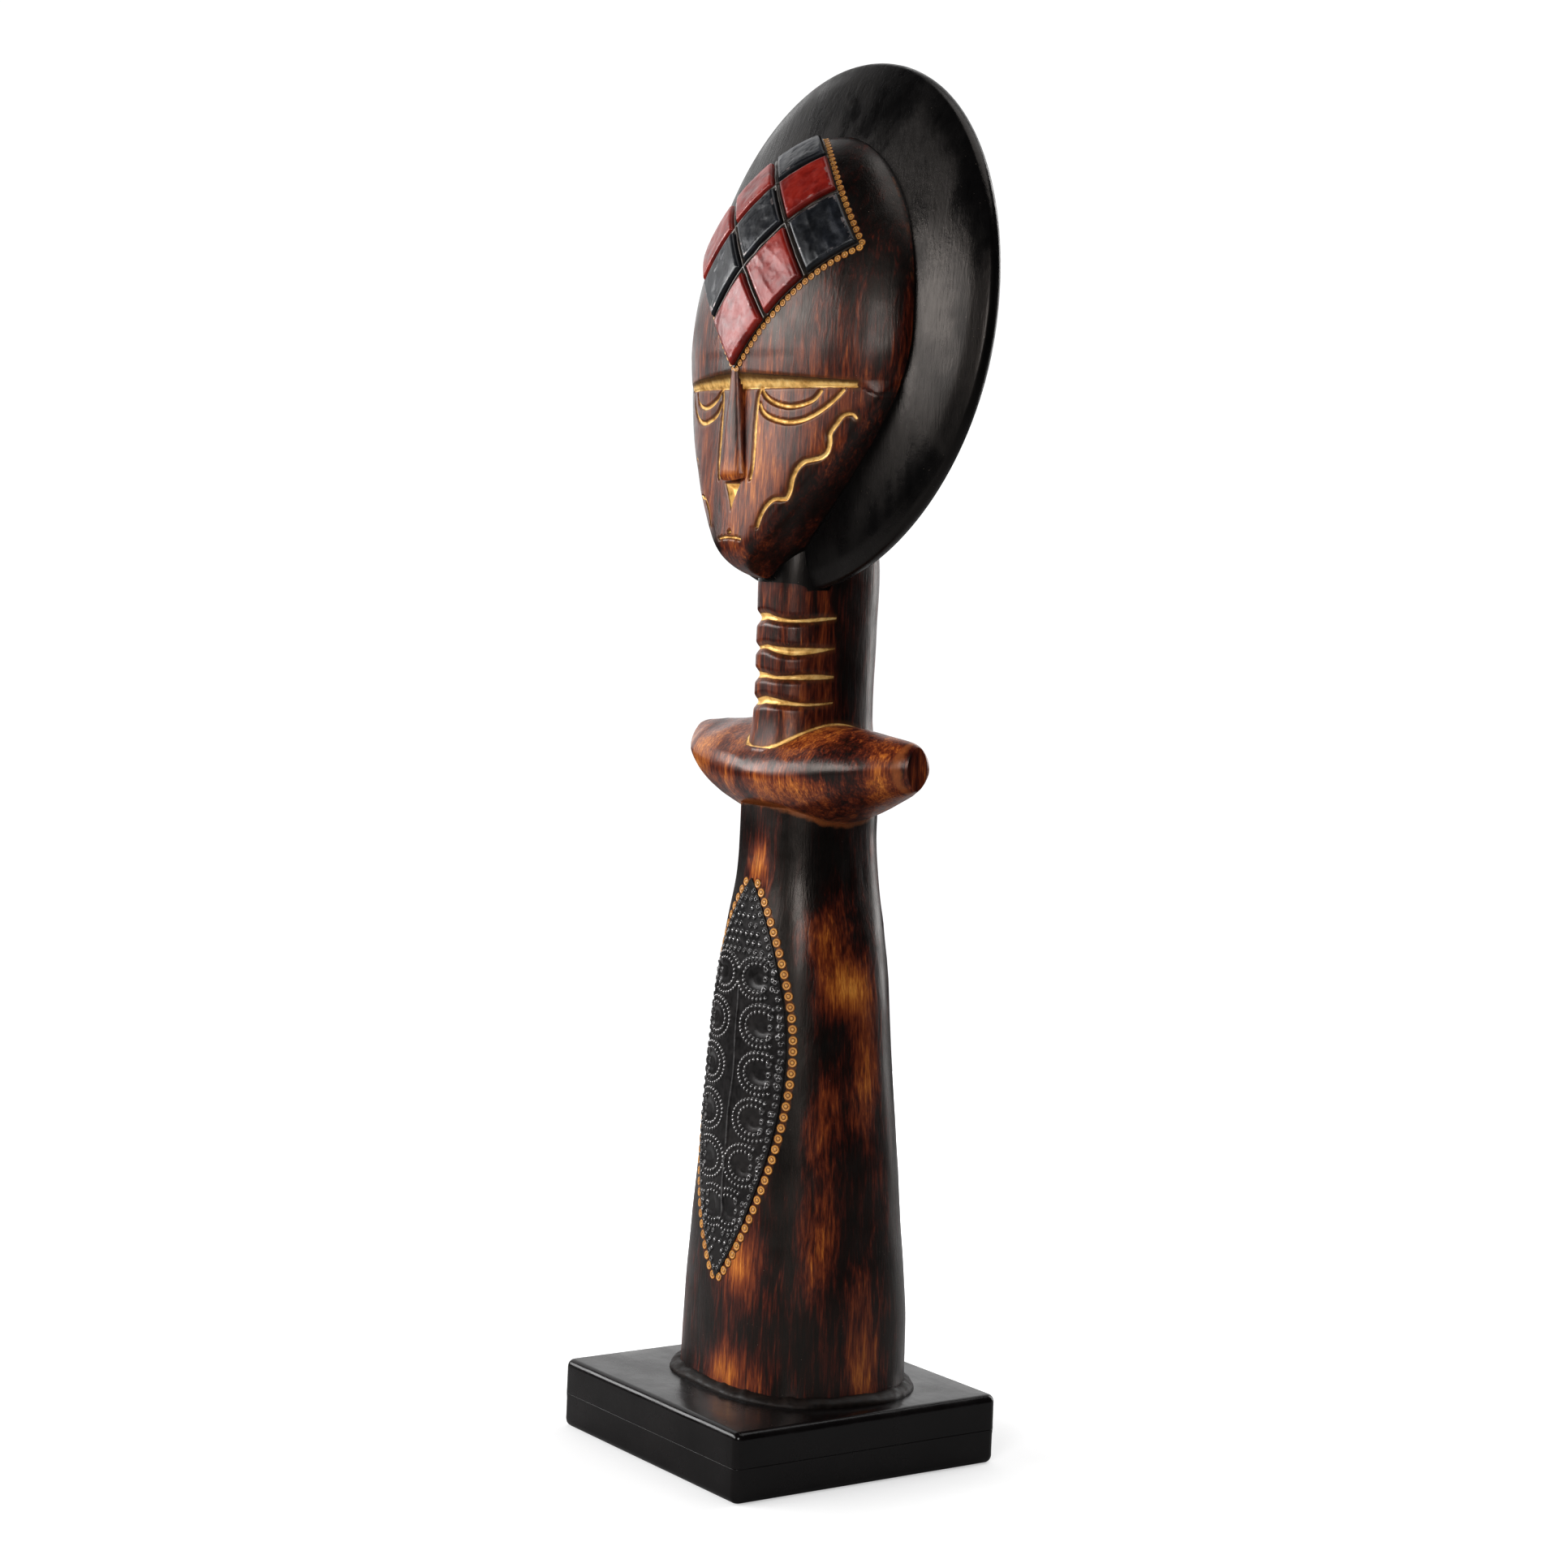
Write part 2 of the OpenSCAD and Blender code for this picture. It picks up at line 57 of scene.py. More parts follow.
# ---------------------------------------------------------------- driving dimensions

FIGURE_HIGH = node_box("figure_carving")[1]
BOARD_HIGH = node_box("plinth_lower_board")[1]
PLATE_LOW, PLATE_HIGH = node_box("dress_plate")
PLINTH_H = node_box("plinth_upper_board")[1][2]
BOARD_T = BOARD_HIGH[2]
PLINTH_HALF = BOARD_HIGH[0]
CORNER_R = 3.0
EDGE_R = 2.5
SCREW_LOW, SCREW_HIGH = node_box("plinth_screws")

# Screw holes: radius in the boards, in the wood, and under the heads
BOARD_BORE_R = 2.2
WOOD_BORE_R = 2.05
HEAD_BORE_R = 4.3
HEAD_BORE_DEEP = 4.0

SKIN_GAP = 0.06
SHEET_T = 0.6
PAD_GAP = 0.02
TILE_H = 1.9
# Length of a tile and its share of channel along one edge of the rhombus
TILE_PITCH = 18.5
CHANNEL = 0.055
SHEET_EDGE = 0.015
PLATE_T = 0.8

TORSO_POWER = 2.4
SHOULDER_POWER = 1.75
# Height, half width, half depth and middle of the torso's sections
TORSO = np.array([
    [22, 38.4, 31.6, 4.9], [25.5, 38.3, 31.5, 4.9], [50, 37.8, 31, 4.8], [75, 35.4, 29.3, 4.2],
    [100, 33.2, 27.6, 3.8], [125, 30.4, 26, 3.4], [152, 27.6, 24.4, 3.2], [168, 25, 22.8, 3.2],
    [183, 21.6, 21.3, 3.3], [196, 20.6, 20.6, 2.8], [206, 20.6, 20.6, 2.8]])
# Place along X, half depth, half height, middle height and middle depth of the shoulder bar's sections
SHOULDERS = np.array([
    [0, 23, 16.5, 216, 1.5], [15, 22.5, 16, 216.3, 1.5], [30, 19.5, 13.9, 218, 1.2],
    [45, 13.5, 10.5, 220, 0.8], [54.5, 7.5, 8.1, 221.4, 0.5], [58.5, 3.8, 6.7, 221.7, 0.3]])
# Height, half width, half depth and middle of the neck's sections
NECK = np.array([
    [222, 16.5, 21, 2.8], [234, 14.8, 19.6, 2.8], [262, 14.4, 19.8, 3], [283, 14.4, 19.8, 3],
    [300, 13.5, 16.4, 2.6], [316, 11, 11.3, 3.4], [330, 7.5, 6.8, 4.6]])
NECK_CUTS = np.array([239, 247, 255.5, 265])

RIM_T = 6.0
FRONT_SWELL = 15.6
BACK_SWELL = 9.0
DISC_HALF_W = FIGURE_HIGH[0]
DISC_HALF_H = 82.8
DISC_Z = FIGURE_HIGH[2] - DISC_HALF_H

FACE_HALF_W = 54.5
FACE_LOW_Z = 277.0
FACE_WIDE_Z = 350.0
FACE_TOP_Z = 415.0
BROW_Z = 337.5
BROW_FRONT = 32.0
CHEEK_FRONT = 30.0
CHIN_HALF_W = 2.5
FACE_ROOT = 1.6

TILES = 3
TILE_HALF_W = 13.2


# A distance past which a mark on the wood no longer matters
FAR = 4.0


# ---------------------------------------------------------------- numbers

def eased(rows, column, s):
    """Value of a column of stations at s, eased smoothly from one station to the next."""
    s = np.asarray(s, float)
    at, value = rows[:, 0], rows[:, column]
    slope = np.empty(len(rows))
    slope[1:-1] = (value[2:] - value[:-2]) / (at[2:] - at[:-2])
    slope[0] = (value[1] - value[0]) / (at[1] - at[0])
    slope[-1] = (value[-1] - value[-2]) / (at[-1] - at[-2])
    i = np.clip(np.searchsorted(at, s, side="left") - 1, 0, len(rows) - 2)
    run = at[i + 1] - at[i]
    t = (s - at[i]) / run
    return (value[i] * (2 * t**3 - 3 * t**2 + 1) + slope[i] * run * (t**3 - 2 * t**2 + t)
            + value[i + 1] * (3 * t**2 - 2 * t**3) + slope[i + 1] * run * (t**3 - t**2))


def smooth(low, high, value):
    """0 below low, 1 above high, and a smooth rise between."""
    t = np.clip((value - low) / (high - low), 0, 1)
    return t * t * (3 - 2 * t)


def bump(value, middle, width):
    """1 at the middle, falling smoothly to 0 at the width either side."""
    return 1 - smooth(0, width, np.abs(value - middle))


def noise(points, size, seed):
    """Smooth value noise from -1 to 1 with cells of the given size, for an array of points."""
    table = np.random.default_rng(seed).uniform(-1, 1, 4096)
    p = np.asarray(points, float) / size
    cell = np.floor(p).astype(np.int64)
    f = p - cell
    f = f * f * (3 - 2 * f)
    total = np.zeros(len(p))
    for corner in np.ndindex(2, 2, 2):
        c = cell + np.array(corner)
        key = (c[:, 0] * 73856093 ^ c[:, 1] * 19349663 ^ c[:, 2] * 83492791) & 4095
        weight = np.prod(np.where(np.array(corner), f, 1 - f), axis=1)
        total += weight * table[key]
    return total


def signed_power(v, p):
    return np.sign(v) * np.abs(v) ** p


def path_length(points):
    """Length of a path up to each of its points."""
    return np.concatenate([[0], np.cumsum(np.linalg.norm(np.diff(points, axis=0), axis=1))])


def section(a, b, n, sides, start=0.0):
    """Points round a superellipse, evenly placed by angle."""
    t = (np.arange(sides) + start) * 2 * np.pi / sides
    return a * signed_power(np.cos(t), 2 / n), b * signed_power(np.sin(t), 2 / n), t


# ---------------------------------------------------------------- surfaces of the figure

def torso_front(x, z):
    a, b, cy = (eased(TORSO, c, z) for c in (1, 2, 3))
    return cy - b * np.maximum(0, 1 - np.abs(x / a) ** TORSO_POWER) ** (1 / TORSO_POWER)


def disc_mid(z):
    return 7.4 + 0.098 * (z - 367) - 0.0007 * np.maximum(0, 355 - z) ** 2


def disc_reach(x, z):
    return (x / DISC_HALF_W) ** 2 + ((z - DISC_Z) / DISC_HALF_H) ** 2


def disc_front(x, z):
    return disc_mid(z) - RIM_T / 2 - FRONT_SWELL * (1 - np.minimum(1, disc_reach(x, z)))


def disc_back(x, z):
    return disc_mid(z) + RIM_T / 2 + BACK_SWELL * (1 - np.minimum(1, disc_reach(x, z)))


def face_half(z):
    z = np.asarray(z, float)
    up = np.clip((z - FACE_WIDE_Z) / (FACE_TOP_Z - FACE_WIDE_Z), 0, 1)
    down = np.clip((FACE_WIDE_Z - z) / (FACE_WIDE_Z - FACE_LOW_Z), 0, 1)
    above = FACE_HALF_W * np.sqrt(np.maximum(0.0001, 1 - up**2.1))
    below = CHIN_HALF_W + (FACE_HALF_W - CHIN_HALF_W) * (1 - down**1.8) ** 1.15
    return np.where(z >= FACE_WIDE_Z, above, below)


def face_edge(z):
    return disc_front(face_half(z), z)


def brow_surface(x, z):
    edge, top_edge = face_edge(z), face_edge(FACE_TOP_Z)
    share = np.minimum(1, np.abs(x) / face_half(z))
    s = np.clip((z - BROW_Z) / (FACE_TOP_Z - BROW_Z), 0, 1)
    profile = top_edge - (top_edge + BROW_FRONT) * (1 - s**2.6) ** 0.75
    return edge - np.maximum(0.2, edge - profile) * (1 - share**1.8) ** 0.56


def cheek_surface(x, z):
    edge = face_edge(z)
    share = np.minimum(1, np.abs(x) / face_half(z))
    chin = 0.5 - 0.5 * np.cos(np.pi * np.sqrt(np.clip((z - FACE_LOW_Z + 1.2) / 14, 0, 1)))
    plane = -CHEEK_FRONT - 2.6 * (1 - np.clip((z - FACE_LOW_Z) / 62, 0, 1)) + x**2 / 165
    return edge + (np.minimum(plane, edge) - edge) * (1 - share**7) ** (1 / 7) * np.sqrt(chin)


# ---------------------------------------------------------------- carved lines of the face

# Each line: its places across and up the right half of the face, and its half width
WAVY_LINE = [(43.6, 326.2), (42.9, 327.1), (41.7, 327.3), (40.1, 326.6), (38.3, 324.1), (36.6, 321.4),
             (36.5, 318.5), (35.7, 315.8), (33.9, 314.1), (31.0, 313.3), (28.5, 312.5), (26.3, 310.2),
             (25.1, 307.3), (24.3, 303.8), (23.1, 301.7), (21.7, 301.3), (18.8, 301.1), (16.1, 299.2),
             (14.1, 296.4), (12.5, 292.7)]
INNER_LID = [(10.8, 335.2), (12.4, 332.8), (15.5, 330.9), (19.5, 329.7), (23.6, 329.3), (27.9, 330.0),
             (31.4, 331.5), (33.4, 334.0)]
OUTER_LID = [(10.6, 330.0), (12.2, 327.6), (15.9, 325.8), (21.9, 324.6), (27.0, 325.0), (31.4, 326.7),
             (35.4, 329.4), (38.3, 332.1), (40.1, 334.3)]
NOSE_SIDE = [(10.2, 334.7), (9.5, 331.8), (9.2, 324.9), (9.3, 312.1), (8.4, 307.3)]
MOUTH = [(0.0, 289.2), (3.0, 289.1), (5.6, 288.7)]
MOUTH_DOT = [(0.0, 290.9), (0.6, 290.7)]
LINE_WIDTHS = [(WAVY_LINE, 0.62), (INNER_LID, 0.56), (OUTER_LID, 0.62), (NOSE_SIDE, 0.6), (MOUTH, 0.38),
               (MOUTH_DOT, 0.36)]
GROOVE_DEPTH = 0.9
NOTCH_TOP_Z = 305.8
NOTCH_LOW_Z = 297.4
NOTCH_HALF_W = 3.9
# Half length of the gold-washed shelf under the brow
SHELF_HALF_L = 44.5


def rounded_path(points, step=0.25):
    """Catmull-Rom curve through the points, sampled about every step."""
    p = np.array(points, float)
    p = np.vstack([2 * p[0] - p[1], p, 2 * p[-1] - p[-2]])
    out = []
    for i in range(1, len(p) - 2):
        count = max(2, int(np.linalg.norm(p[i + 1] - p[i]) / step))
        t = np.linspace(0, 1, count, endpoint=False)[:, None]
        out.append(0.5 * (2 * p[i] + (p[i + 1] - p[i - 1]) * t
                          + (2 * p[i - 1] - 5 * p[i] + 4 * p[i + 1] - p[i + 2]) * t**2
                          + (3 * p[i] - p[i - 1] - 3 * p[i + 1] + p[i + 2]) * t**3))
    return np.vstack(out + [p[-2][None]])


def line_distance(x, z):
    """Distance from each place on the face to the nearest carved line's edge, negative inside the line."""
    points = np.stack([np.abs(x), z], axis=1)
    nearest = np.full(len(points), FAR)
    for path, half in LINE_WIDTHS:
        samples = rounded_path(path)
        swell = half * (0.75 + 0.35 * np.sin(np.linspace(0.3, 2.8, len(samples))))
        low, high = samples.min(0) - FAR, samples.max(0) + FAR
        near = np.where(((points > low) & (points < high)).all(axis=1))[0]
        for part in np.array_split(near, max(1, len(near) // 4000)):
            gap = points[part][:, None, :] - samples[None]
            d = (np.hypot(gap[:, :, 0] * 1.05, gap[:, :, 1]) - swell[None]).min(axis=1)
            nearest[part] = np.minimum(nearest[part], d)
    return nearest


def notch_distance(x, z):
    """Distance to the gold notch under the nose, negative inside it."""
    width = NOTCH_HALF_W * np.clip((z - NOTCH_LOW_Z) / (NOTCH_TOP_Z - NOTCH_LOW_Z), 0, 1) ** 1.25
    inside = np.maximum(np.abs(x) - width, z - NOTCH_TOP_Z)
    return np.where(z < NOTCH_LOW_Z, np.hypot(x, z - NOTCH_LOW_Z), inside)


def shelf_low(x):
    """Height of the shelf's lower edge, where it meets the cheek."""
    return 334.9 + 0.5 * np.minimum(1.2, np.abs(x) / SHELF_HALF_L) - 5 * smooth(44, 54, np.abs(x))


def shelf_top(x):
    """Height of the brow's edge, highest beside the nose."""
    return 339.9 - 2.7 * np.minimum(1.2, np.abs(x) / SHELF_HALF_L)


def shelf_share(x, z):
    """0 at the shelf's lower edge and 1 at the brow's edge."""
    return (z - shelf_low(x)) / (shelf_top(x) - shelf_low(x))


def shelf_distance(x, z):
    """Distance to the gold-washed slope under the brow, negative on it."""
    ends = np.abs(x) - SHELF_HALF_L - 0.25 * (z - 336)
    return np.maximum(np.maximum(shelf_low(x) - 0.3 - z, z - shelf_top(x)), ends)


def gold_distance(x, z):
    return np.minimum(np.minimum(line_distance(x, z), notch_distance(x, z)), shelf_distance(x, z))


def face_surface(x, z):
    """Carved front of the face: brow, shelf, cheeks, grooves and the notch under the nose."""
    share = shelf_share(x, z)
    lift = smooth(-0.25, 1.3, share)
    brow = brow_surface(x, np.maximum(z, BROW_Z))
    y = cheek_surface(x, z) * (1 - lift) + brow * lift
    # The knife runs a little under the cheek where the shelf meets it
    y = y + 0.35 * bump(share, -0.02, 0.16)
    front = smooth(0, 6, face_half(z) - np.abs(x))
    groove = GROOVE_DEPTH * (1 - smooth(-0.55, 0.5, line_distance(x, z)))
    step = 0.5 * (1 - smooth(-3.5, 2.5, side_plane_distance(x, z)))
    notch = 1.7 * (1 - smooth(-1.6, 0.4, notch_distance(x, z)))
    return y + (groove + notch + step) * front


def side_plane_distance(x, z):
    """How far a place lies inside the wavy lines, which bound the flat front of the cheeks."""
    path = rounded_path(WAVY_LINE[3:])
    order = np.argsort(path[:, 1])
    border = np.interp(z, path[order, 1], path[order, 0])
    border = np.where(z < path[:, 1].min(), 11.4 - (path[:, 1].min() - z) * 0.5, border)
    border = border + 9 * smooth(324, 334, z)
    return border - np.abs(x)


# ---------------------------------------------------------------- brow and torso patches

def tile_height(k):
    return BROW_Z + 4 + 15.6 * k - 0.101 * k**3


def brow_place(p, q):
    x = (p - q) * TILE_HALF_W
    return x, tile_height(p + q) - 0.0048 * x**2


def over_surface(surface, x, z, height):
    """Points at a height over a front surface y(x, z), along its outward normal."""
    step = 0.5
    dx = np.stack([np.full_like(x, 2 * step), surface(x + step, z) - surface(x - step, z), 0 * x], -1)
    dz = np.stack([0 * x, surface(x, z + step) - surface(x, z - step), np.full_like(x, 2 * step)], -1)
    out = np.cross(dx, dz)
    out /= np.linalg.norm(out, axis=-1, keepdims=True)
    return np.stack([x, surface(x, z), z], -1) + out * np.asarray(height)[..., None]


def over_brow(p, q, height):
    x, z = brow_place(p, q)
    return over_surface(brow_surface, x, z, height)


def plate_half(z):
    v = (z - PLATE_LOW[2]) / (PLATE_HIGH[2] - PLATE_LOW[2])
    s = np.clip((v - 0.53) / np.where(v < 0.53, 0.53, 0.47), -1, 1)
    return np.maximum(0.35, 21 * (1 - np.abs(s) ** 2.1) ** 0.9)


# ---------------------------------------------------------------- meshes

def solid(name, vertices, faces):
    """A closed mesh object from points in millimetres, its normals outward and its shading smooth."""
    mesh = bpy.data.meshes.new(name)
    mesh.from_pydata((np.asarray(vertices) * MM).tolist(), [], faces)
    mesh.update()
    work = bmesh.new()
    work.from_mesh(mesh)
    if work.calc_volume(signed=True) < 0:
        bmesh.ops.reverse_faces(work, faces=work.faces)
    work.to_mesh(mesh)
    work.free()
    mesh.shade_smooth()
    piece = bpy.data.objects.new(name, mesh)
    bpy.context.scene.collection.objects.link(piece)
    return piece


def loft(rings):
    """Vertices and faces of a closed skin through rings of equal count, with a fan over each end."""
    rings = np.asarray(rings)
    rows, sides = rings.shape[:2]
    vertices = np.vstack([rings.reshape(-1, 3), rings[0].mean(0), rings[-1].mean(0)])
    a = (np.arange(rows - 1)[:, None] * sides + np.arange(sides)[None]).ravel()
    b = (np.arange(rows - 1)[:, None] * sides + (np.arange(sides)[None] + 1) % sides).ravel()
    faces = np.stack([a, b, b + sides, a + sides], axis=1).tolist()
    low, high = rows * sides, rows * sides + 1
    for i in range(sides):
        j = (i + 1) % sides
        faces.append([low, j, i])
        faces.append([high, (rows - 1) * sides + i, (rows - 1) * sides + j])
    return vertices, faces


def combine(piece, others, operation="UNION"):
    """Joins or cuts closed meshes with a boolean and leaves the result as the piece's mesh."""
    group = bpy.data.collections.new(piece.name + "_parts")
    bpy.context.scene.collection.children.link(group)
    for other in others:
        group.objects.link(other)
    step = piece.modifiers.new("join", "BOOLEAN")
    step.operation = operation
    step.solver = "MANIFOLD"
    step.operand_type = "COLLECTION"
    step.collection = group
    made = bpy.data.meshes.new_from_object(piece.evaluated_get(bpy.context.evaluated_depsgraph_get()))
    piece.modifiers.clear()
    piece.data = made
    for other in others:
        bpy.data.objects.remove(other)
    bpy.data.collections.remove(group)


def vertices_of(piece):
    points = np.empty(len(piece.data.vertices) * 3)
    piece.data.vertices.foreach_get("co", points)
    return points.reshape(-1, 3) / MM


def paint(piece, name, values):
    """Stores one number per vertex, which the material reads by name."""
    layer = piece.data.attributes.new(name, "FLOAT", "POINT")
    layer.data.foreach_set("value", np.asarray(values, np.float32))


def crease(piece, degrees=38):
    piece.data.shade_smooth()
    piece.data.set_sharp_from_angle(angle=math.radians(degrees))


def finish_piece(piece, nodes, material):
    piece.data.materials.clear()
    piece.data.materials.append(material)
    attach(piece, "root")
    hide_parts(*nodes)


# ---------------------------------------------------------------- figure

def tool_marks(points, depth):
    """Shallow flats left by the knife: long soft facets that run up the wood."""
    stretched = points * np.array([1, 1, 0.22])
    broad = noise(stretched, 11, 3)
    fine = noise(points * np.array([1, 1, 0.5]), 5.5, 4)
    return depth * (0.75 * broad + 0.25 * fine)


def outward(points, centre_y):
    out = points - np.stack([0 * points[:, 0], np.full(len(points), centre_y), points[:, 2]], axis=1)
    out[:, 2] = 0
    return out / np.maximum(np.linalg.norm(out, axis=1, keepdims=True), 1e-6)


def make_torso():
    sides = 104
    heights = np.concatenate([[TORSO[0, 0]], np.arange(24, 205, 2.2), [TORSO[-1, 0]]])
    rings = []
    for z in heights:
        a, b, cy = (float(eased(TORSO, c, z)) for c in (1, 2, 3))
        x, y, angle = section(a, b, TORSO_POWER, sides)
        ring = np.stack([x, y + cy, np.full(sides, z)], axis=1)
        held = smooth(22, 30, z)
        # No tool marks under the plate, which has to lie on the wood
        plate_band = smooth(50, 56, z) * (1 - smooth(186, 192, z))
        keep_plate = 1 - smooth(0, 3, 24 - np.abs(x)) * (y < 0) * plate_band
        shift = -np.abs(tool_marks(ring, 0.5)) * held * keep_plate
        # Four soft upright edges, where the carver left the billet's corners
        corner = -0.5 * np.cos(4 * angle) * 0.5 * held * keep_plate
        rings.append(ring + outward(ring, cy) * (shift + np.minimum(corner, 0))[:, None])
    return solid("torso", *loft(rings))


def make_shoulders():
    sides = 96
    half = SHOULDERS[-1, 0]
    rings = []
    for x in np.linspace(-half, half, 84):
        d, h, cz, cy = (float(eased(SHOULDERS, c, abs(x))) for c in (1, 2, 3, 4))
        y, z, _ = section(d, h, SHOULDER_POWER, sides)
        ring = np.stack([np.full(sides, x), y + cy, z + cz], axis=1)
        away = np.stack([0 * y, y, z], axis=1)
        away /= np.maximum(np.linalg.norm(away, axis=1, keepdims=True), 1e-6)
        flats = -np.abs(noise(ring * np.array([0.5, 1, 1]), 9, 8)) * 0.7 * (1 - smooth(50, 57, abs(x)))
        rings.append(ring + away * flats[:, None])
    return solid("shoulders", *loft(rings))


def neck_cut_height(height, angle):
    """The cuts sag between the front and their ends and run uneven, as cut by hand."""
    turn = np.abs(angle + np.pi / 2) - 0.67
    return height - 0.6 + 2.6 * (1 - np.cos(turn)) + 0.3 * np.sin(4 * angle + 2 * height)


def neck_cut_share(angle):
    """1 over the front of the neck, fading out half way along its sides."""
    return np.clip((-0.1 - np.sin(angle)) * 1.7, 0, 1)


def neck_cut_distance(points):
    """Distance to the nearest cut between the neck rings, negative inside it."""
    angle = np.arctan2((points[:, 1] - 3) / 19.8, points[:, 0] / 14.4)
    share = neck_cut_share(angle)
    nearest = np.full(len(points), FAR)
    for height in NECK_CUTS:
        half = 1.15 * np.sqrt(share) * (0.8 + 0.3 * np.sin(3 * angle + height))
        distance = np.abs(points[:, 2] - neck_cut_height(height, angle)) - half
        nearest = np.minimum(nearest, np.where(share > 0.02, distance, FAR))
    return nearest


def make_neck():
    sides = 120
    heights = np.concatenate([np.arange(222, 274, 0.55), np.arange(274, 330, 2.2), [330]])
    rings = []
    for z in heights:
        a, b, cy = (float(eased(NECK, c, z)) for c in (1, 2, 3))
        x, y, angle = section(a, b, TORSO_POWER, sides)
        ring = np.stack([x, y + cy, np.full(sides, z)], axis=1)
        share = neck_cut_share(angle)
        gap = neck_cut_distance(ring)
        cut = -1.5 * (1 - smooth(-1.1, 1.7, gap)) * share
        marks = -np.abs(tool_marks(ring, 0.4))
        rings.append(ring + outward(ring, cy) * (cut + marks)[:, None])
    return solid("neck", *loft(rings))


def make_disc():
    sides = 160
    # Shares of the disc's radius at which its rings lie, from the middle outwards
    front = [0.03, 0.1, 0.2, 0.3, 0.4, 0.5, 0.58, 0.66, 0.73, 0.79, 0.84, 0.88, 0.92, 0.95, 0.975, 0.99]
    rings = []

    def ring(share, side, depth):
        t = -(np.arange(sides) + 0.5) * 2 * np.pi / sides
        x, z = DISC_HALF_W * share * np.cos(t), DISC_Z + DISC_HALF_H * share * np.sin(t)
        points = np.stack([x, disc_mid(z) + side * depth, z], axis=1)
        wave = 0.22 * noise(points * np.array([1, 1, 0.6]), 14, 21) * (1 - smooth(0.94, 0.99, share))
        points[:, 1] -= side * np.abs(wave)
        return points

    def bevel(share):
        """A narrow soft bevel just inside the rim, as on a turned bowl's lip."""
        return 1.1 * bump(share, 0.99, 0.06)

    for share in front:
        rings.append(ring(share, -1, RIM_T / 2 + FRONT_SWELL * (1 - share**2) - bevel(share)))
    for turn in (-0.55, -0.2, 0.2, 0.55):
        rings.append(ring(1 - 0.004 * (abs(turn) > 0.3), 1 if turn > 0 else -1, abs(turn) * RIM_T / 2))
    for share in front[::-1]:
        rings.append(ring(share, 1, RIM_T / 2 + BACK_SWELL * (1 - share**2) - bevel(share)))
    return solid("disc", *loft(rings))


def make_face():
    columns = 300
    heights = np.concatenate([
        np.arange(277, 286, 0.6), np.arange(286, 334, 0.36), np.arange(334, 342.4, 0.34),
        np.arange(342.4, 402, 1.25), [404, 406, 408, 410, 411.5, 413, 414]])
    share = np.linspace(-1, 1, columns + 1)
    share = np.sin(share * np.pi / 2) * 0.2 + share * 0.8
    z = np.repeat(heights, columns + 1)
    half = np.repeat(face_half(heights), columns + 1)
    x = np.tile(share, len(heights)) * half
    y = face_surface(x, z)
    points = np.stack([x, y, z], axis=1)
    plain = (z > 345) * 1.0
    _, tile_top = brow_place(1.5, 1.5)
    points[:, 1] += np.abs(tool_marks(points, 0.25)) * (1 - plain * (np.abs(x) < 44) * (z < tile_top + 40))
    points = points.reshape(len(heights), columns + 1, 3)
    points[:, [0, -1], 1] += FACE_ROOT
    back = np.stack([
        np.stack([side * face_half(heights) * 0.9, face_edge(heights) + 2 * FACE_ROOT, heights], axis=1)
        for side in (1, -1)], axis=1)
    return solid("face", *loft(np.concatenate([points, back], axis=1)))


NOSE_LOW_Z = 306.5
NOSE_TOP_Z = 340.6


def make_nose():
    """A wedge with a rounded ridge, wider and prouder towards its flat underside."""
    sides = 40
    rings = []
    for t in np.concatenate([[0, 0.012, 0.03, 0.06], np.linspace(0.1, 1, 30)]):
        z = NOSE_LOW_Z + (NOSE_TOP_Z - NOSE_LOW_Z) * t
        half = 7.3 - 5.1 * t - 0.5 * (1 - smooth(0, 0.04, t))
        front = -34.0 + 1.2 * t + 0.8 * (1 - smooth(0, 0.05, t))
        root = -27.5
        x, y, _ = section(half, root - front, 2.9, sides)
        low = 0.9 * (1 - smooth(0, 0.12, t)) * (np.abs(x) / 6) ** 2
        rings.append(np.stack([x, root + np.where(y < 0, y, y * 0.2), z + low], axis=1))
    return solid("nose", *loft(rings))


# ---------------------------------------------------------------- ring-punched borders

BROW_RING_PITCH = 2.5
PLATE_RING_PITCH = 3.42


def border_places():
    """Centre, outward normal and radius of every ring punched round the tiles and the dress plate."""
    places = []
    # Along the four edges of the rhombus, just outside the sheet
    outside = 0.055
    low, high = -outside, TILES + outside
    fine = np.linspace(low, high, 300)
    for fixed in (low, high):
        for p, q in ((fine, np.full(300, fixed)), (np.full(300, fixed), fine)):
            path = over_brow(p, q, 0 * p)
            along = path_length(path)
            count = int(round(along[-1] / BROW_RING_PITCH))
            stops = (np.arange(count) + 0.5) / count * along[-1]
            p, q = np.interp(stops, along, p), np.interp(stops, along, q)
            base, over = over_brow(p, q, 0 * p), over_brow(p, q, 0 * p + 1)
            places += [(c, o - c, 0.49 * along[-1] / count) for c, o in zip(base, over)]
    # Down both edges of the plate
    z = np.linspace(PLATE_LOW[2] - 1.2, PLATE_HIGH[2] + 0.6, 400)
    edge = np.stack([plate_half(z) + 1.75, z], axis=1)
    edge[:, 0] *= smooth(PLATE_LOW[2] - 4, PLATE_LOW[2] + 2, z)
    along = path_length(edge)
    stops = np.arange(1.7, along[-1], PLATE_RING_PITCH)
    x, z = np.interp(stops, along, edge[:, 0]), np.interp(stops, along, edge[:, 1])
    for side in (-1, 1):
        base = over_surface(torso_front, side * x, z, 0 * x)
        over = over_surface(torso_front, side * x, z, 0 * x + 1)
        places += [(c, o - c, 1.58) for c, o in zip(base, over)]
    return places


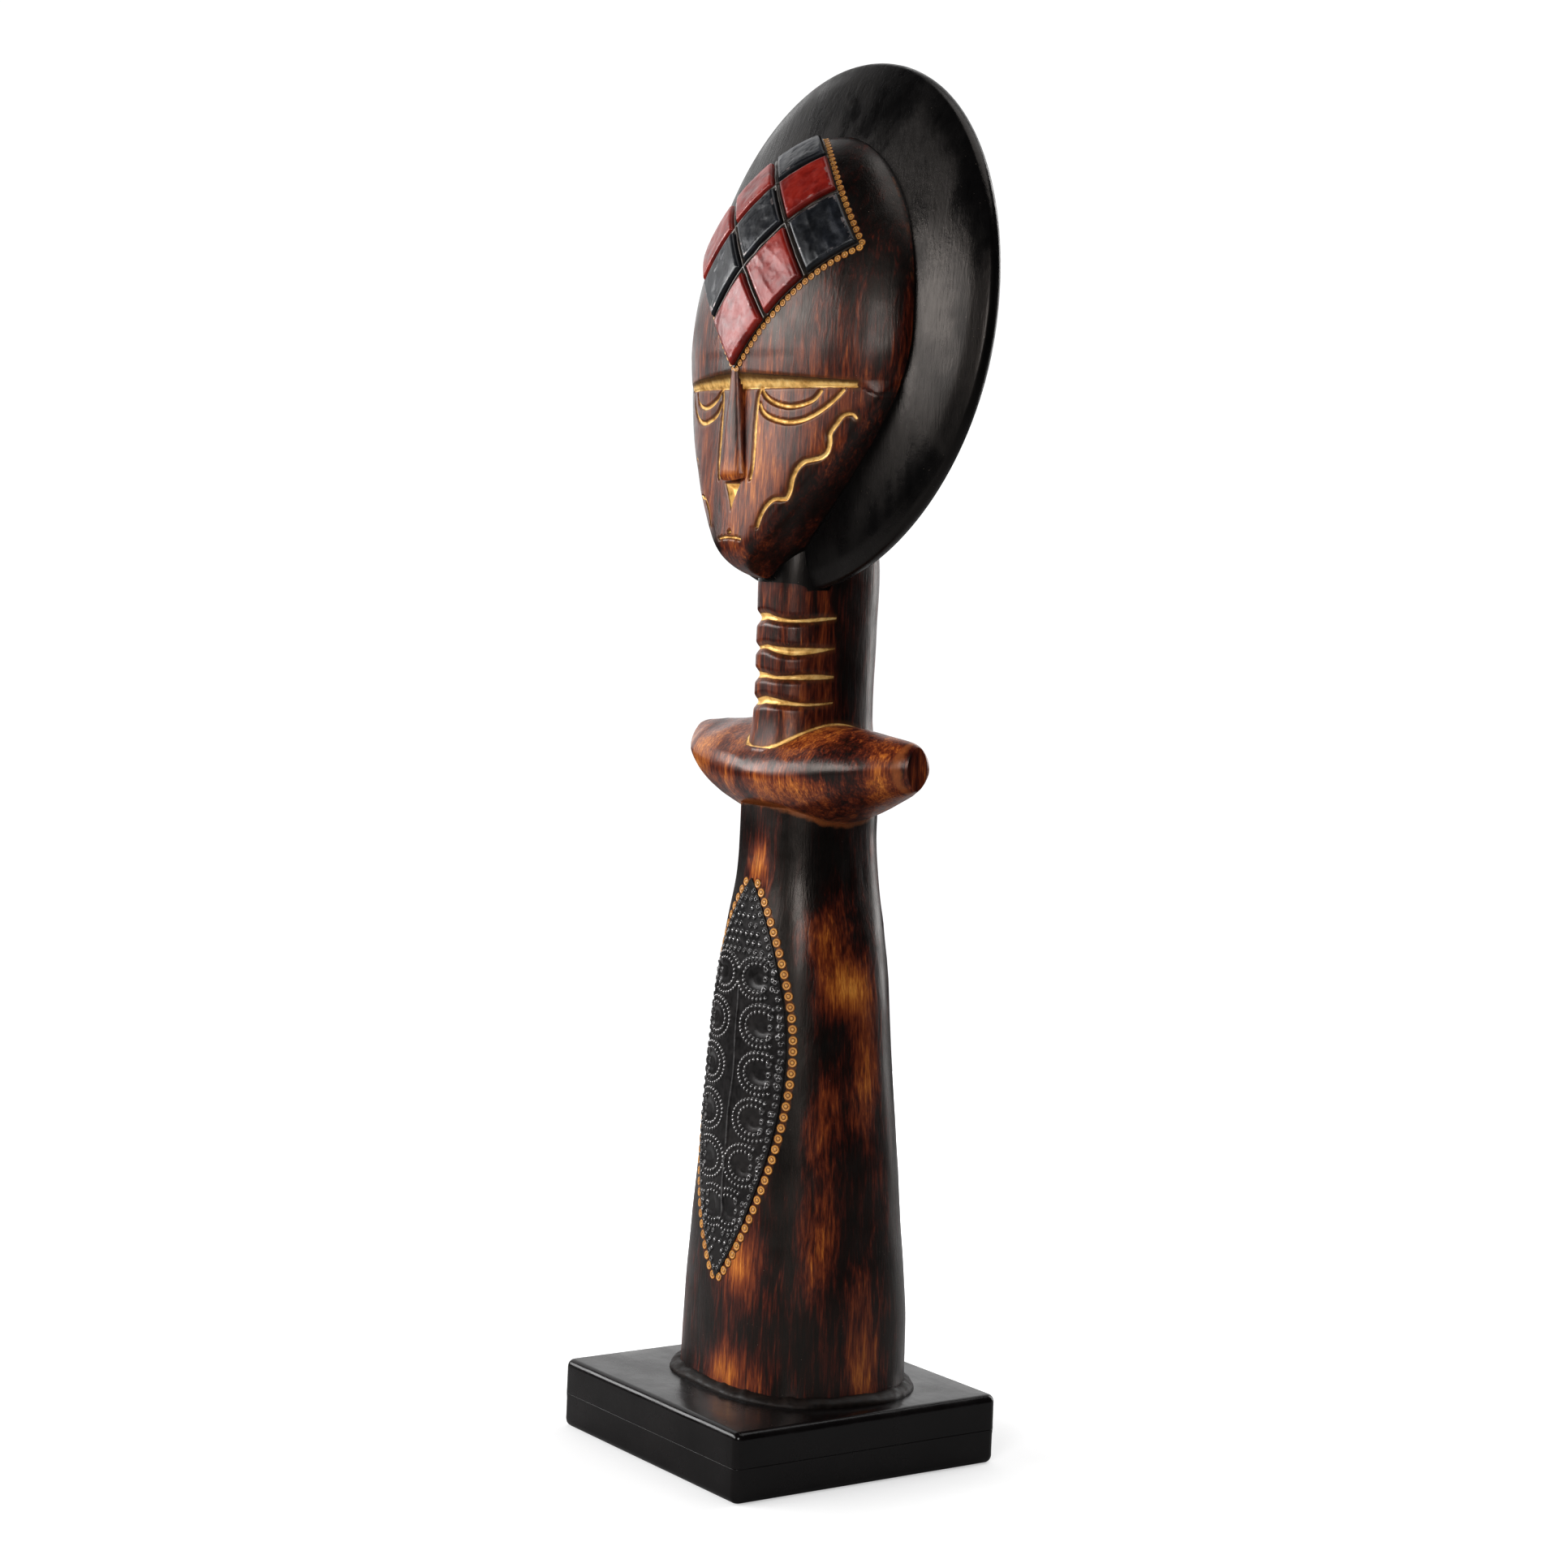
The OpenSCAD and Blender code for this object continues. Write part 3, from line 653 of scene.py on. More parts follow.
# Radius and height, in shares of the ring's radius, from its middle to its foot in the wood
PUNCH_PROFILE = [
    (0.0, 0.17), (0.3, 0.15), (0.46, 0.06), (0.62, 0.15), (0.86, 0.13), (1.0, -0.02), (1.0, -0.55)]


def make_border(places):
    sides = 16
    t = np.arange(sides) * 2 * np.pi / sides
    vertices, faces = [], []
    for centre, normal, radius in places:
        across = np.cross(normal, [0, 0, 1.0])
        across /= np.linalg.norm(across)
        up = np.cross(across, normal)
        start = len(vertices)
        vertices.append(centre + normal * PUNCH_PROFILE[0][1] * radius)
        for r, h in PUNCH_PROFILE[1:]:
            vertices += list(centre + radius * (r * (np.cos(t)[:, None] * across + np.sin(t)[:, None] * up)
                                                + h * normal))
        rings = len(PUNCH_PROFILE) - 1
        for i in range(sides):
            j = (i + 1) % sides
            faces.append([start, start + 1 + i, start + 1 + j])
            for r in range(rings - 1):
                a, b = start + 1 + r * sides, start + 1 + (r + 1) * sides
                faces.append([a + i, b + i, b + j, a + j])
        faces.append([start + 1 + (rings - 1) * sides + i for i in range(sides)][::-1])
    return solid("border", vertices, faces)


# ---------------------------------------------------------------- marks on the finished figure

def outside_loft(rows, points, axis):
    """About how far points lie outside the torso, the neck or the shoulder bar."""
    s = np.clip(np.abs(points[:, axis]), rows[0, 0], rows[-1, 0])
    if axis == 0:
        d, h, cz, cy = (eased(rows, c, s) for c in (1, 2, 3, 4))
        u, v, n, size = (points[:, 1] - cy) / d, (points[:, 2] - cz) / h, SHOULDER_POWER, np.minimum(d, h)
    else:
        a, b, cy = (eased(rows, c, s) for c in (1, 2, 3))
        u, v, n, size = points[:, 0] / a, (points[:, 1] - cy) / b, TORSO_POWER, np.minimum(a, b)
    level = ((np.abs(u) ** n + np.abs(v) ** n) ** (1 / n) - 1) * size
    before = np.maximum(0, rows[0, 0] - points[:, axis]) * (axis == 2)
    past = np.maximum(0, np.abs(points[:, axis]) - rows[-1, 0])
    return level + before + past


def beyond_disc(x, y, z):
    """Distance off the black paint, which is negative or 0 on the disc."""
    proud = np.maximum(disc_front(x, z) - y, y - disc_back(x, z))
    return np.where(z < 255, 9, np.maximum(proud, (np.sqrt(disc_reach(x, z)) - 1) * DISC_HALF_H))


def neck_paint_top(points, off_disc, off_neck):
    """The black paint runs on over the neck, down in the valley between the jaw and the disc."""
    x, y, z = points.T
    valley = (z > 274.5) & (y > -24) & (y < disc_mid(z)) & (np.abs(x) < 17) & (off_neck < 0.8)
    return np.where(valley, np.minimum(off_disc, 275.3 - z), off_disc)


def gold_marks(points, face, nose, off_neck, off_bar):
    """Distance to the gold: the face's lines, the neck cuts and the line where the neck meets the bar."""
    x, _, z = points.T
    gold = np.full(len(points), FAR)
    gold[face] = gold_distance(x[face], z[face])
    gold[nose] = FAR
    neck = (z > 230) & (z < 275)
    gold[neck] = np.minimum(gold[neck], neck_cut_distance(points[neck]))
    collar = np.where((z > 224) & (z < 240), np.maximum(off_neck, off_bar) - 0.5, FAR)
    return np.clip(np.minimum(gold, collar), -1, FAR)


def amber_marks(points, off_disc, off_torso, off_bar):
    """Distance to the worn lines: under the shoulder bar, round its ends and down the jaw."""
    x, y, z = points.T
    waist = np.where(z < 216, np.maximum(off_torso, off_bar) - 1.2, FAR)
    ends = np.abs(np.abs(x) - (SHOULDERS[-1, 0] - 2.6)) - 1.2
    ends = np.where((z > 205) & (z < 240), ends, FAR)
    at_jaw = (z > 286) & (z < 400) & (y < disc_mid(z)) & (np.abs(x) > 0.86 * face_half(z))
    jaw_line = np.where(at_jaw, np.abs(off_disc - 0.8) - 0.45, FAR)
    return np.clip(np.minimum(np.minimum(waist, ends), jaw_line), -1, FAR)


# Spots where the wood is lighter or, below 0, darker: strength, centre and size along each axis. On the
# torso they are stain; on the shoulder bar most are stain, but two are painted highlight and painted shade
BODY_SPOTS = [
    (0.60, (27, 1, 151), (5, 11, 11)), (0.50, (30, 8, 128), (5, 7, 22)),
    (0.42, (23, -8, 168), (6, 10, 12)), (0.50, (3, -18, 187), (7, 12, 9)),
    (0.50, (12, -26, 64), (8, 10, 12)), (0.30, (20, -20, 80), (6, 10, 20)),
    (0.42, (8, -27, 28), (14, 12, 9)), (0.40, (36, 4, 40), (6, 8, 24)),
    (0.26, (32, -10, 68), (6, 10, 26)), (0.30, (29, -10, 110), (3, 6, 24)),
    (0.35, (-28, -8, 120), (8, 12, 30)), (0.34, (-33, 8, 70), (8, 12, 28)),
    (0.35, (0, 32, 130), (12, 14, 40)), (0.32, (-20, 30, 60), (10, 14, 28)),
    (-0.22, (16, -20, 150), (6, 12, 34)), (-0.22, (22, -22, 100), (5, 12, 34)),
    (-0.16, (26, -16, 60), (6, 10, 26)), (-0.14, (18, -12, 190), (10, 16, 10))]
# On the bar, the spot over the top front at z 230 is a painted highlight and the dark band across the front
# at z 219 is painted shade
BAR_SPOTS = [
    (0.35, (-44, -8, 216), (14, 14, 9)), (0.25, (16, -18, 213), (22, 9, 4)),
    (0.3, (50, -4, 220), (6, 10, 9)), (-0.25, (30, -18, 219), (26, 8, 3)),
    (0.2, (0, -14, 230), (30, 12, 6))]


def blobs(points, spots):
    """Soft spots added up, each 1 times its strength in its middle."""
    total = np.zeros(len(points))
    for strength, centre, size in spots:
        d = (points - np.array(centre)) / np.array(size)
        total += strength * np.exp(-(d**2).sum(axis=1))
    return total


def stain_and_painted_light_tone(points, nose, off_disc, off_torso, off_neck, off_bar):
    """How light the wood is coloured, from 0 nearly black to 1 amber: mostly the stain, with painted shade
    and painted highlight on the neck and the shoulder bar.
    """
    x, y, z = points.T
    tone = np.full(len(points), 0.30)
    body = (z < 212) & (off_torso <= off_bar)
    tone = np.where(body, 0.14, tone) + 1.25 * body * blobs(points, BODY_SPOTS)
    bar = (z > 195) & (z < 240) & ~body & (off_bar <= off_neck)
    tone = np.where(bar, 0.45, tone) + bar * blobs(points, BAR_SPOTS)
    neck_zone = (z > 220) & (z < 285) & (off_disc > 0.5) & ~bar
    # Painted shade darkens the neck's side, and a painted highlight lightens it again along its back edge
    tone = np.where(neck_zone, 0.44 - 0.24 * smooth(-6, 8, y) + 0.26 * smooth(16, 22, y), tone)
    head = (z > 276) & (off_disc > 0)
    tone = np.where(head, 0.40 - 0.09 * smooth(330, 350, z) + 0.07 * bump(z, 306, 30), tone)
    tone -= head * 0.22 * smooth(345, 392, z)
    off_plane = smooth(1.5, -1.5, side_plane_distance(x, z))
    tone = np.where(head & (z < 334), tone - 0.18 * off_plane, tone)
    tone += head * blobs(points, [(0.10, (26, -14, 300), (12, 14, 10))])
    tone += nose * blobs(points, [(0.22, (0, -34, 309), (5, 6, 4))])
    return np.clip(tone, 0, 1)


def punch_marks(points, places):
    """Distance to the nearest punched ring's centre, as a share of that ring's radius."""
    _, y, z = points.T
    tree = KDTree(len(places))
    for i, (centre, _, _) in enumerate(places):
        tree.insert(centre, i)
    tree.balance()
    punch = np.full(len(points), 3.0)
    for i in np.where(((z > 50) & (z < 190) | (z > 336)) & (y < 0))[0]:
        _, which, distance = tree.find(points[i])
        punch[i] = min(3.0, distance / places[which][2])
    return punch


def mark_figure(piece, places):
    """Stores on every vertex of the carving what its material reads."""
    points = vertices_of(piece)
    x, y, z = points.T
    off_neck, off_bar = outside_loft(NECK, points, 2), outside_loft(SHOULDERS, points, 0)
    off_torso = outside_loft(TORSO, points, 2)
    off_disc = neck_paint_top(points, beyond_disc(x, y, z), off_neck)
    face = (z > 276) & (z < 341) & (y < face_edge(z) + 0.5) & (np.abs(x) < face_half(z))
    nose = face & (np.abs(x) < 6.8) & (z > NOSE_LOW_Z - 0.3)
    nose[nose] = y[nose] < face_surface(x[nose], z[nose]) - 0.7
    on_shelf = face & (shelf_distance(x, z) < 0.3)
    paint(piece, "off_disc", np.clip(off_disc, -1, 9))
    paint(piece, "gold", gold_marks(points, face, nose, off_neck, off_bar))
    paint(piece, "shelf", np.where(on_shelf, np.clip(shelf_share(x, z), 0, 1), 0))
    paint(piece, "amber_edge", amber_marks(points, off_disc, off_torso, off_bar))
    paint(piece, "tone", stain_and_painted_light_tone(points, nose, off_disc, off_torso, off_neck, off_bar))
    paint(piece, "punch", punch_marks(points, places))


# ---------------------------------------------------------------- node graphs

class Graph:
    """A material's node tree, with one short method per kind of node."""

    def __init__(self, name):
        self.material = bpy.data.materials.new(name)
        self.material.use_nodes = True
        self.tree = self.material.node_tree
        self.tree.nodes.clear()
        self.shader = self.tree.nodes.new("ShaderNodeBsdfPrincipled")
        output = self.tree.nodes.new("ShaderNodeOutputMaterial")
        self.tree.links.new(self.shader.outputs[0], output.inputs["Surface"])
        self.place = self.tree.nodes.new("ShaderNodeTexCoord").outputs["Object"]

    def put(self, socket, value):
        if isinstance(value, bpy.types.NodeSocket):
            self.tree.links.new(value, socket)
        elif isinstance(value, tuple) and len(value) == 3 and socket.type == "RGBA":
            socket.default_value = (*value, 1)
        else:
            socket.default_value = value

    def stretched(self, scale, rotation=(0, 0, 0)):
        node = self.tree.nodes.new("ShaderNodeMapping")
        self.put(node.inputs["Vector"], self.place)
        node.inputs["Scale"].default_value = scale
        node.inputs["Rotation"].default_value = rotation
        return node.outputs[0]

    def noise(self, scale, detail=4, roughness=0.55, distortion=0.0, at=None):
        node = self.tree.nodes.new("ShaderNodeTexNoise")
        self.put(node.inputs["Vector"], at or self.place)
        for key, value in (("Scale", scale), ("Detail", detail), ("Roughness", roughness),
                           ("Distortion", distortion)):
            node.inputs[key].default_value = value
        return node.outputs["Fac"]

    def cells(self, scale):
        node = self.tree.nodes.new("ShaderNodeTexVoronoi")
        self.put(node.inputs["Vector"], self.place)
        node.inputs["Scale"].default_value = scale
        return node.outputs["Distance"]

    def attribute(self, name):
        node = self.tree.nodes.new("ShaderNodeAttribute")
        node.attribute_name = name
        return node.outputs["Fac"]

    def math(self, operation, a, b=0.0):
        node = self.tree.nodes.new("ShaderNodeMath")
        node.operation = operation
        self.put(node.inputs[0], a)
        self.put(node.inputs[1], b)
        return node.outputs[0]

    def times(self, a, b):
        return self.math("MULTIPLY", a, b)

    def vary(self, base, height, amount):
        """A value pushed up and down by a noise, whose middle leaves it as it is."""
        return self.math("ADD", base, self.times(self.math("SUBTRACT", height, 0.5), amount))

    def remap(self, value, low, high, to_low=0.0, to_high=1.0):
        """Smooth step of a value from low..high to to_low..to_high."""
        node = self.tree.nodes.new("ShaderNodeMapRange")
        node.interpolation_type = "SMOOTHSTEP"
        self.put(node.inputs["Value"], value)
        for key, number in (("From Min", low), ("From Max", high), ("To Min", to_low), ("To Max", to_high)):
            node.inputs[key].default_value = number
        return node.outputs[0]

    def mix(self, share, a, b):
        node = self.tree.nodes.new("ShaderNodeMix")
        node.data_type = "RGBA"
        self.put(node.inputs["Factor"], share)
        self.put(node.inputs[6], a)
        self.put(node.inputs[7], b)
        return node.outputs[2]

    def ramp(self, value, stops):
        node = self.tree.nodes.new("ShaderNodeValToRGB")
        self.put(node.inputs[0], value)
        points = node.color_ramp.elements
        while len(points) < len(stops):
            points.new(0.5)
        for point, (place, colour) in zip(points, stops):
            point.position = place
            point.color = (*colour, 1)
        return node.outputs[0]

    def bump(self, *layers):
        """Bump from (height, strength, depth in metres) layers, chained."""
        normal = None
        for height, strength, depth in layers:
            node = self.tree.nodes.new("ShaderNodeBump")
            node.inputs["Strength"].default_value = strength
            node.inputs["Distance"].default_value = depth
            self.put(node.inputs["Height"], height)
            if normal is not None:
                self.put(node.inputs["Normal"], normal)
            normal = node.outputs[0]
        self.put(self.shader.inputs["Normal"], normal)

    def surface(self, **values):
        """Sets the shader's sockets by name, with underscores for spaces."""
        for key, value in values.items():
            self.put(self.shader.inputs[key.replace("_", " ")], value)
        return self.material


# ---------------------------------------------------------------- materials

def stained_wood():
    g = Graph("stained_wood")
    tone = g.attribute("tone")
    along = g.stretched((1, 1, 0.16))
    cloud = g.noise(60, 3, 0.5, 0.6, g.stretched((1, 1, 0.4)))
    streak = g.noise(380, 6, 0.66, 0.6, along)
    fibre = g.noise(1500, 3, 0.6, 0.0, g.stretched((1, 1, 0.06)))
    mixed = g.vary(tone, cloud, 0.95)
    mixed = g.vary(mixed, streak, g.remap(tone, 0.42, 0.58, 1.25, 0.8))
    mixed = g.vary(mixed, fibre, 0.75)
    wood = g.ramp(mixed, [
        (0.0, (0.002, 0.0010, 0.0008)), (0.22, (0.012, 0.0020, 0.0012)),
        (0.4, (0.064, 0.0085, 0.0036)), (0.6, (0.190, 0.042, 0.0115)),
        (0.8, (0.42, 0.140, 0.026)), (1.0, (0.70, 0.32, 0.065))])
    pores = g.remap(g.noise(1500, 2, 0.5, 0.0, g.stretched((1, 1, 0.05))), 0.62, 0.72)
    wood = g.mix(g.times(pores, 0.5), wood, (0.006, 0.003, 0.002))
    # Amber where the stain is rubbed through along edges
    rub = g.noise(260, 4, 0.6)
    edge = g.vary(g.attribute("amber_edge"), rub, 2.4)
    wood = g.mix(g.times(g.remap(edge, 0.5, -0.7), 0.65), wood, (0.30, 0.10, 0.028))
    # Black paint on the head disc
    black = g.remap(g.vary(g.attribute("off_disc"), rub, 0.5), 0.75, 0.3)
    paint_tone = g.ramp(streak, [(0.3, (0.0018, 0.0018, 0.002)), (0.75, (0.0055, 0.005, 0.005))])
    colour = g.mix(black, wood, paint_tone)
    # Punched rings: amber discs with a darker ring and outline
    punch = g.attribute("punch")
    ringed = g.ramp(g.times(punch, 0.5), [
        (0.0, (0.76, 0.46, 0.15)), (0.12, (0.64, 0.36, 0.10)), (0.22, (0.17, 0.055, 0.012)),
        (0.31, (0.64, 0.35, 0.10)), (0.40, (0.50, 0.24, 0.06)), (0.49, (0.05, 0.014, 0.005))])
    ringed = g.mix(g.remap(rub, 0.38, 0.72, 0.0, 0.4), ringed, (0.24, 0.08, 0.02))
    on_ring = g.remap(punch, 1.06, 0.98)
    colour = g.mix(on_ring, colour, ringed)
    # Gold wash in the grooves, patchy at its edges
    flake = g.noise(520, 5, 0.7)
    gold_edge = g.vary(g.attribute("gold"), flake, 0.5)
    gold = g.remap(gold_edge, 0.25, -0.05)
    gold_tone = g.ramp(g.noise(330, 4, 0.6), [
        (0.3, (0.42, 0.23, 0.06)), (0.5, (0.78, 0.51, 0.19)), (0.75, (0.90, 0.68, 0.32))])
    gold_tone = g.mix(g.remap(gold_edge, -0.32, 0.08), gold_tone, (0.15, 0.058, 0.012))
    # The shelf under the brow: bright along its foot, olive brown above where the wash thins, and painted
    # shade in dark brown just under the brow's edge
    shelf = g.vary(g.attribute("shelf"), flake, 0.35)
    gold_tone = g.mix(g.remap(shelf, 0.32, 0.8), gold_tone, (0.12, 0.056, 0.010))
    # Painted shade just under the brow's edge
    gold_tone = g.mix(g.remap(shelf, 0.82, 1.05), gold_tone, (0.030, 0.010, 0.004))
    halo = g.times(g.remap(gold_edge, 1.6, 0.1), 0.4)
    colour = g.mix(halo, colour, (0.15, 0.058, 0.016))
    colour = g.mix(gold, colour, gold_tone)
    # Fine pale specks of dust caught in the wax
    speck = g.remap(g.cells(620), 0.075, 0.05)
    speck = g.times(speck, g.remap(g.noise(55, 2), 0.5, 0.66))
    colour = g.mix(g.times(speck, 0.5), colour, (0.42, 0.34, 0.27))
    wax = g.noise(75, 4, 0.6)
    rough = g.math("ADD", g.remap(wax, 0.3, 0.75, 0.30, 0.46), g.times(gold, 0.12))
    rough = g.math("SUBTRACT", rough, g.times(black, g.remap(cloud, 0.35, 0.65, -0.04, 0.16)))
    brush = g.noise(700, 3, 0.6, 0.0, g.stretched((1, 0.3, 0.25), (0.0, 0.7, 0.0)))
    g.bump((streak, 0.22, 0.0006), (fibre, 0.35, 0.00016), (brush, 0.25, 0.00016), (flake, 0.12, 0.0002))
    return g.surface(
        Base_Color=colour, Roughness=rough, Metallic=g.times(gold, 0.35),
        Specular_IOR_Level=g.remap(black, 0, 1, 0.42, 0.26), Specular_Tint=(1.0, 0.88, 0.80),
        Coat_Weight=0.1, Coat_Roughness=0.20)


def black_lacquer():
    g = Graph("black_lacquer")
    brush = g.noise(60, 4, 0.55)
    grain = g.noise(260, 4, 0.6, 0.2, g.stretched((0.14, 1, 1)))
    colour = g.ramp(brush, [(0.3, (0.0045, 0.0035, 0.0035)), (0.7, (0.010, 0.008, 0.008))])
    worn = g.remap(g.noise(420, 4, 0.7), 0.66, 0.74)
    colour = g.mix(g.times(worn, 0.35), colour, (0.035, 0.028, 0.024))
    rough = g.remap(brush, 0.3, 0.7, 0.16, 0.30)
    g.bump((brush, 0.15, 0.0012), (grain, 0.2, 0.0003))
    return g.surface(Base_Color=colour, Roughness=rough, Specular_IOR_Level=0.28, Coat_Weight=0.06,
                     Coat_Roughness=0.12)


def set_glue():
    """Glue stained dark and dulled by the wax over it."""
    g = Graph("set_glue")
    lump = g.noise(500, 4, 0.6)
    colour = g.ramp(lump, [(0.3, (0.004, 0.0025, 0.002)), (0.7, (0.016, 0.008, 0.005))])
    g.bump((lump, 0.3, 0.0003))
    rough = g.remap(lump, 0.3, 0.7, 0.42, 0.6)
    return g.surface(Base_Color=colour, Roughness=rough, Specular_IOR_Level=0.3)


def foil(name, dark, mid, light):
    g = Graph(name)
    wrinkle = g.noise(105, 4, 0.5, 0.9, g.stretched((1, 1, 0.6), (0.3, 0.6, 0.2)))
    mottle = g.noise(380, 5, 0.65)
    colour = g.ramp(g.math("ADD", g.times(wrinkle, 0.6), g.times(mottle, 0.4)),
                    [(0.32, dark), (0.5, mid), (0.68, light)])
    edge = g.vary(g.attribute("edge"), mottle, 1.5)
    patch = g.remap(g.noise(210, 4, 0.7), 0.52, 0.66, 0.0, 0.7)
    worn = g.times(g.remap(edge, 0.55, 0.05), patch)
    colour = g.mix(worn, colour, (0.40, 0.34, 0.33))
    rough = g.remap(mottle, 0.3, 0.7, 0.28, 0.40)
    g.bump((wrinkle, 0.22, 0.0009), (mottle, 0.14, 0.0002))
    return g.surface(Base_Color=colour, Roughness=rough, Metallic=g.remap(worn, 0, 1, 0.05, 0.8),
                     Specular_IOR_Level=0.38, Coat_Weight=0.1, Coat_Roughness=0.16)


def dark_sheet():
    g = Graph("dark_sheet")
    mottle = g.noise(300, 5, 0.6)
    colour = g.ramp(mottle, [(0.3, (0.014, 0.010, 0.008)), (0.7, (0.055, 0.042, 0.033))])
    worn = g.remap(g.math("ADD", g.attribute("edge"), g.times(mottle, 0.8)), 0.75, 0.35)
    colour = g.mix(g.times(worn, 0.3), colour, (0.20, 0.17, 0.15))
    g.bump((mottle, 0.3, 0.0003))
    return g.surface(Base_Color=colour, Roughness=g.remap(mottle, 0.3, 0.7, 0.3, 0.48), Metallic=0.4,
                     Coat_Weight=0.3, Coat_Roughness=0.25)


def blackened_sheet():
    g = Graph("blackened_sheet")
    mottle = g.noise(420, 5, 0.65)
    haze = g.noise(70, 3, 0.5)
    colour = g.ramp(mottle, [(0.3, (0.005, 0.0042, 0.0042)), (0.7, (0.018, 0.015, 0.015))])
    colour = g.mix(g.remap(haze, 0.45, 0.7, 0.0, 0.3), colour, (0.036, 0.030, 0.028))
    rub = g.vary(g.attribute("raised"), mottle, 0.5)
    bright = g.remap(rub, 0.45, 0.9)
    colour = g.mix(g.times(bright, 0.7), colour, (0.30, 0.29, 0.29))
    rough = g.math("SUBTRACT", g.remap(mottle, 0.3, 0.7, 0.28, 0.42), g.times(bright, 0.08))
    g.bump((mottle, 0.2, 0.0002))
    return g.surface(Base_Color=colour, Roughness=rough, Metallic=g.remap(bright, 0, 1, 0.25, 0.9),
                     Specular_IOR_Level=0.36, Coat_Weight=0.1, Coat_Roughness=0.2)


def zinc_steel():
    g = Graph("zinc_steel")
    spangle = g.noise(900, 3, 0.5)
    colour = g.ramp(spangle, [(0.3, (0.42, 0.43, 0.45)), (0.7, (0.66, 0.66, 0.67))])
    g.bump((spangle, 0.1, 0.0001))
    return g.surface(Base_Color=colour, Metallic=1.0, Roughness=g.remap(spangle, 0.3, 0.7, 0.24, 0.38))


# ---------------------------------------------------------------- plinth

def board_ring(inset, z):
    """Rounded-square outline drawn in by inset, its corners kept round."""
    radius = max(0.3, CORNER_R - inset)
    reach = PLINTH_HALF - inset - radius
    corner = np.linspace(0, np.pi / 2, 9)
    arcs = []
    for turn, (sx, sy) in enumerate(((1, 1), (-1, 1), (-1, -1), (1, -1))):
        t = corner + turn * np.pi / 2
        arcs.append(np.stack([sx * reach + radius * np.cos(t), sy * reach + radius * np.sin(t)], axis=1))
    # The four long sides are cut into short runs, so that the lacquer can be uneven
    outline = []
    for arc, following in zip(arcs, arcs[1:] + arcs[:1]):
        run = np.linspace(0, 1, 25)[1:-1, None]
        outline += [arc, arc[-1] + (following[0] - arc[-1]) * run]
    outline = np.vstack(outline)
    return np.column_stack([outline, np.full(len(outline), z)])


def make_board(name, low, high, round_low, round_high, seed):
    """One plinth board: a square with round corners, its outer edges rounded and its lacquer uneven."""
    # The edges at the seam are only nicked off
    nick = 0.18
    profile = []
    low_r = EDGE_R if round_low else nick
    high_r = EDGE_R if round_high else nick
    for t in np.linspace(0, np.pi / 2, 8):
        profile.append((low_r * (1 - math.sin(t)), low + low_r * (1 - math.cos(t))))
    profile += [(0, z) for z in np.linspace(low + low_r, high - high_r, 6)[1:-1]]
    for t in np.linspace(np.pi / 2, 0, 8):
        profile.append((high_r * (1 - math.sin(t)), high - high_r * (1 - math.cos(t))))
    inner = [(d, high) for d in (8, 16, 26, 38, 48)] if round_high else [(30, high)]
    outer = [(d, low) for d in (48, 38, 26, 16, 8)] if round_low else [(30, low)]
    rings = []
    for inset, z in outer + profile + inner:
        ring = board_ring(inset, z)
        dent = 0.13 * np.abs(noise(ring, 17, seed)) + 0.05 * np.abs(noise(ring, 5, seed + 1))
        side = smooth(low, low + 2, z) * (1 - smooth(high - 2, high, z))
        pull = 1 - dent / PLINTH_HALF * (0.4 + 0.6 * side)
        ring[:, 0] *= pull
        ring[:, 1] *= pull
        if round_high and z == high and inset > 0:
            ring[:, 2] -= 0.06 * np.abs(noise(ring, 14, seed + 2))
        rings.append(ring)
    return solid(name, *loft(rings))


SCREW_X = (SCREW_HIGH[0] - SCREW_LOW[0]) / 2 - 4.0
SCREW_Y = (SCREW_HIGH[1] + SCREW_LOW[1]) / 2


def bores(radius, low, high):
    """Round cutters for the two screw holes."""
    made = []
    for side in (-1, 1):
        t = np.arange(48) * 2 * np.pi / 48
        x, y = side * SCREW_X + radius * np.cos(t), SCREW_Y + radius * np.sin(t)
        circle = np.stack([x, y, 0 * t], axis=1)
        made.append(solid("bore", *loft([circle + [0, 0, low], circle + [0, 0, high]])))
    return made


def make_plinth(material):
    upper = make_board("plinth_upper_board", BOARD_T, PLINTH_H, False, True, 31)
    combine(upper, bores(BOARD_BORE_R, BOARD_T - 1, PLINTH_H + 1), "DIFFERENCE")
    lower = make_board("plinth_lower_board", 0.0, BOARD_T, True, False, 41)
    combine(lower, bores(BOARD_BORE_R, -1, BOARD_T + 1), "DIFFERENCE")
    combine(lower, bores(HEAD_BORE_R, -1, HEAD_BORE_DEEP), "DIFFERENCE")
    for piece, node in ((upper, "plinth_upper_board"), (lower, "plinth_lower_board")):
        crease(piece, 50)
        piece.name = node + "_lacquered"
        finish_piece(piece, [node], material)


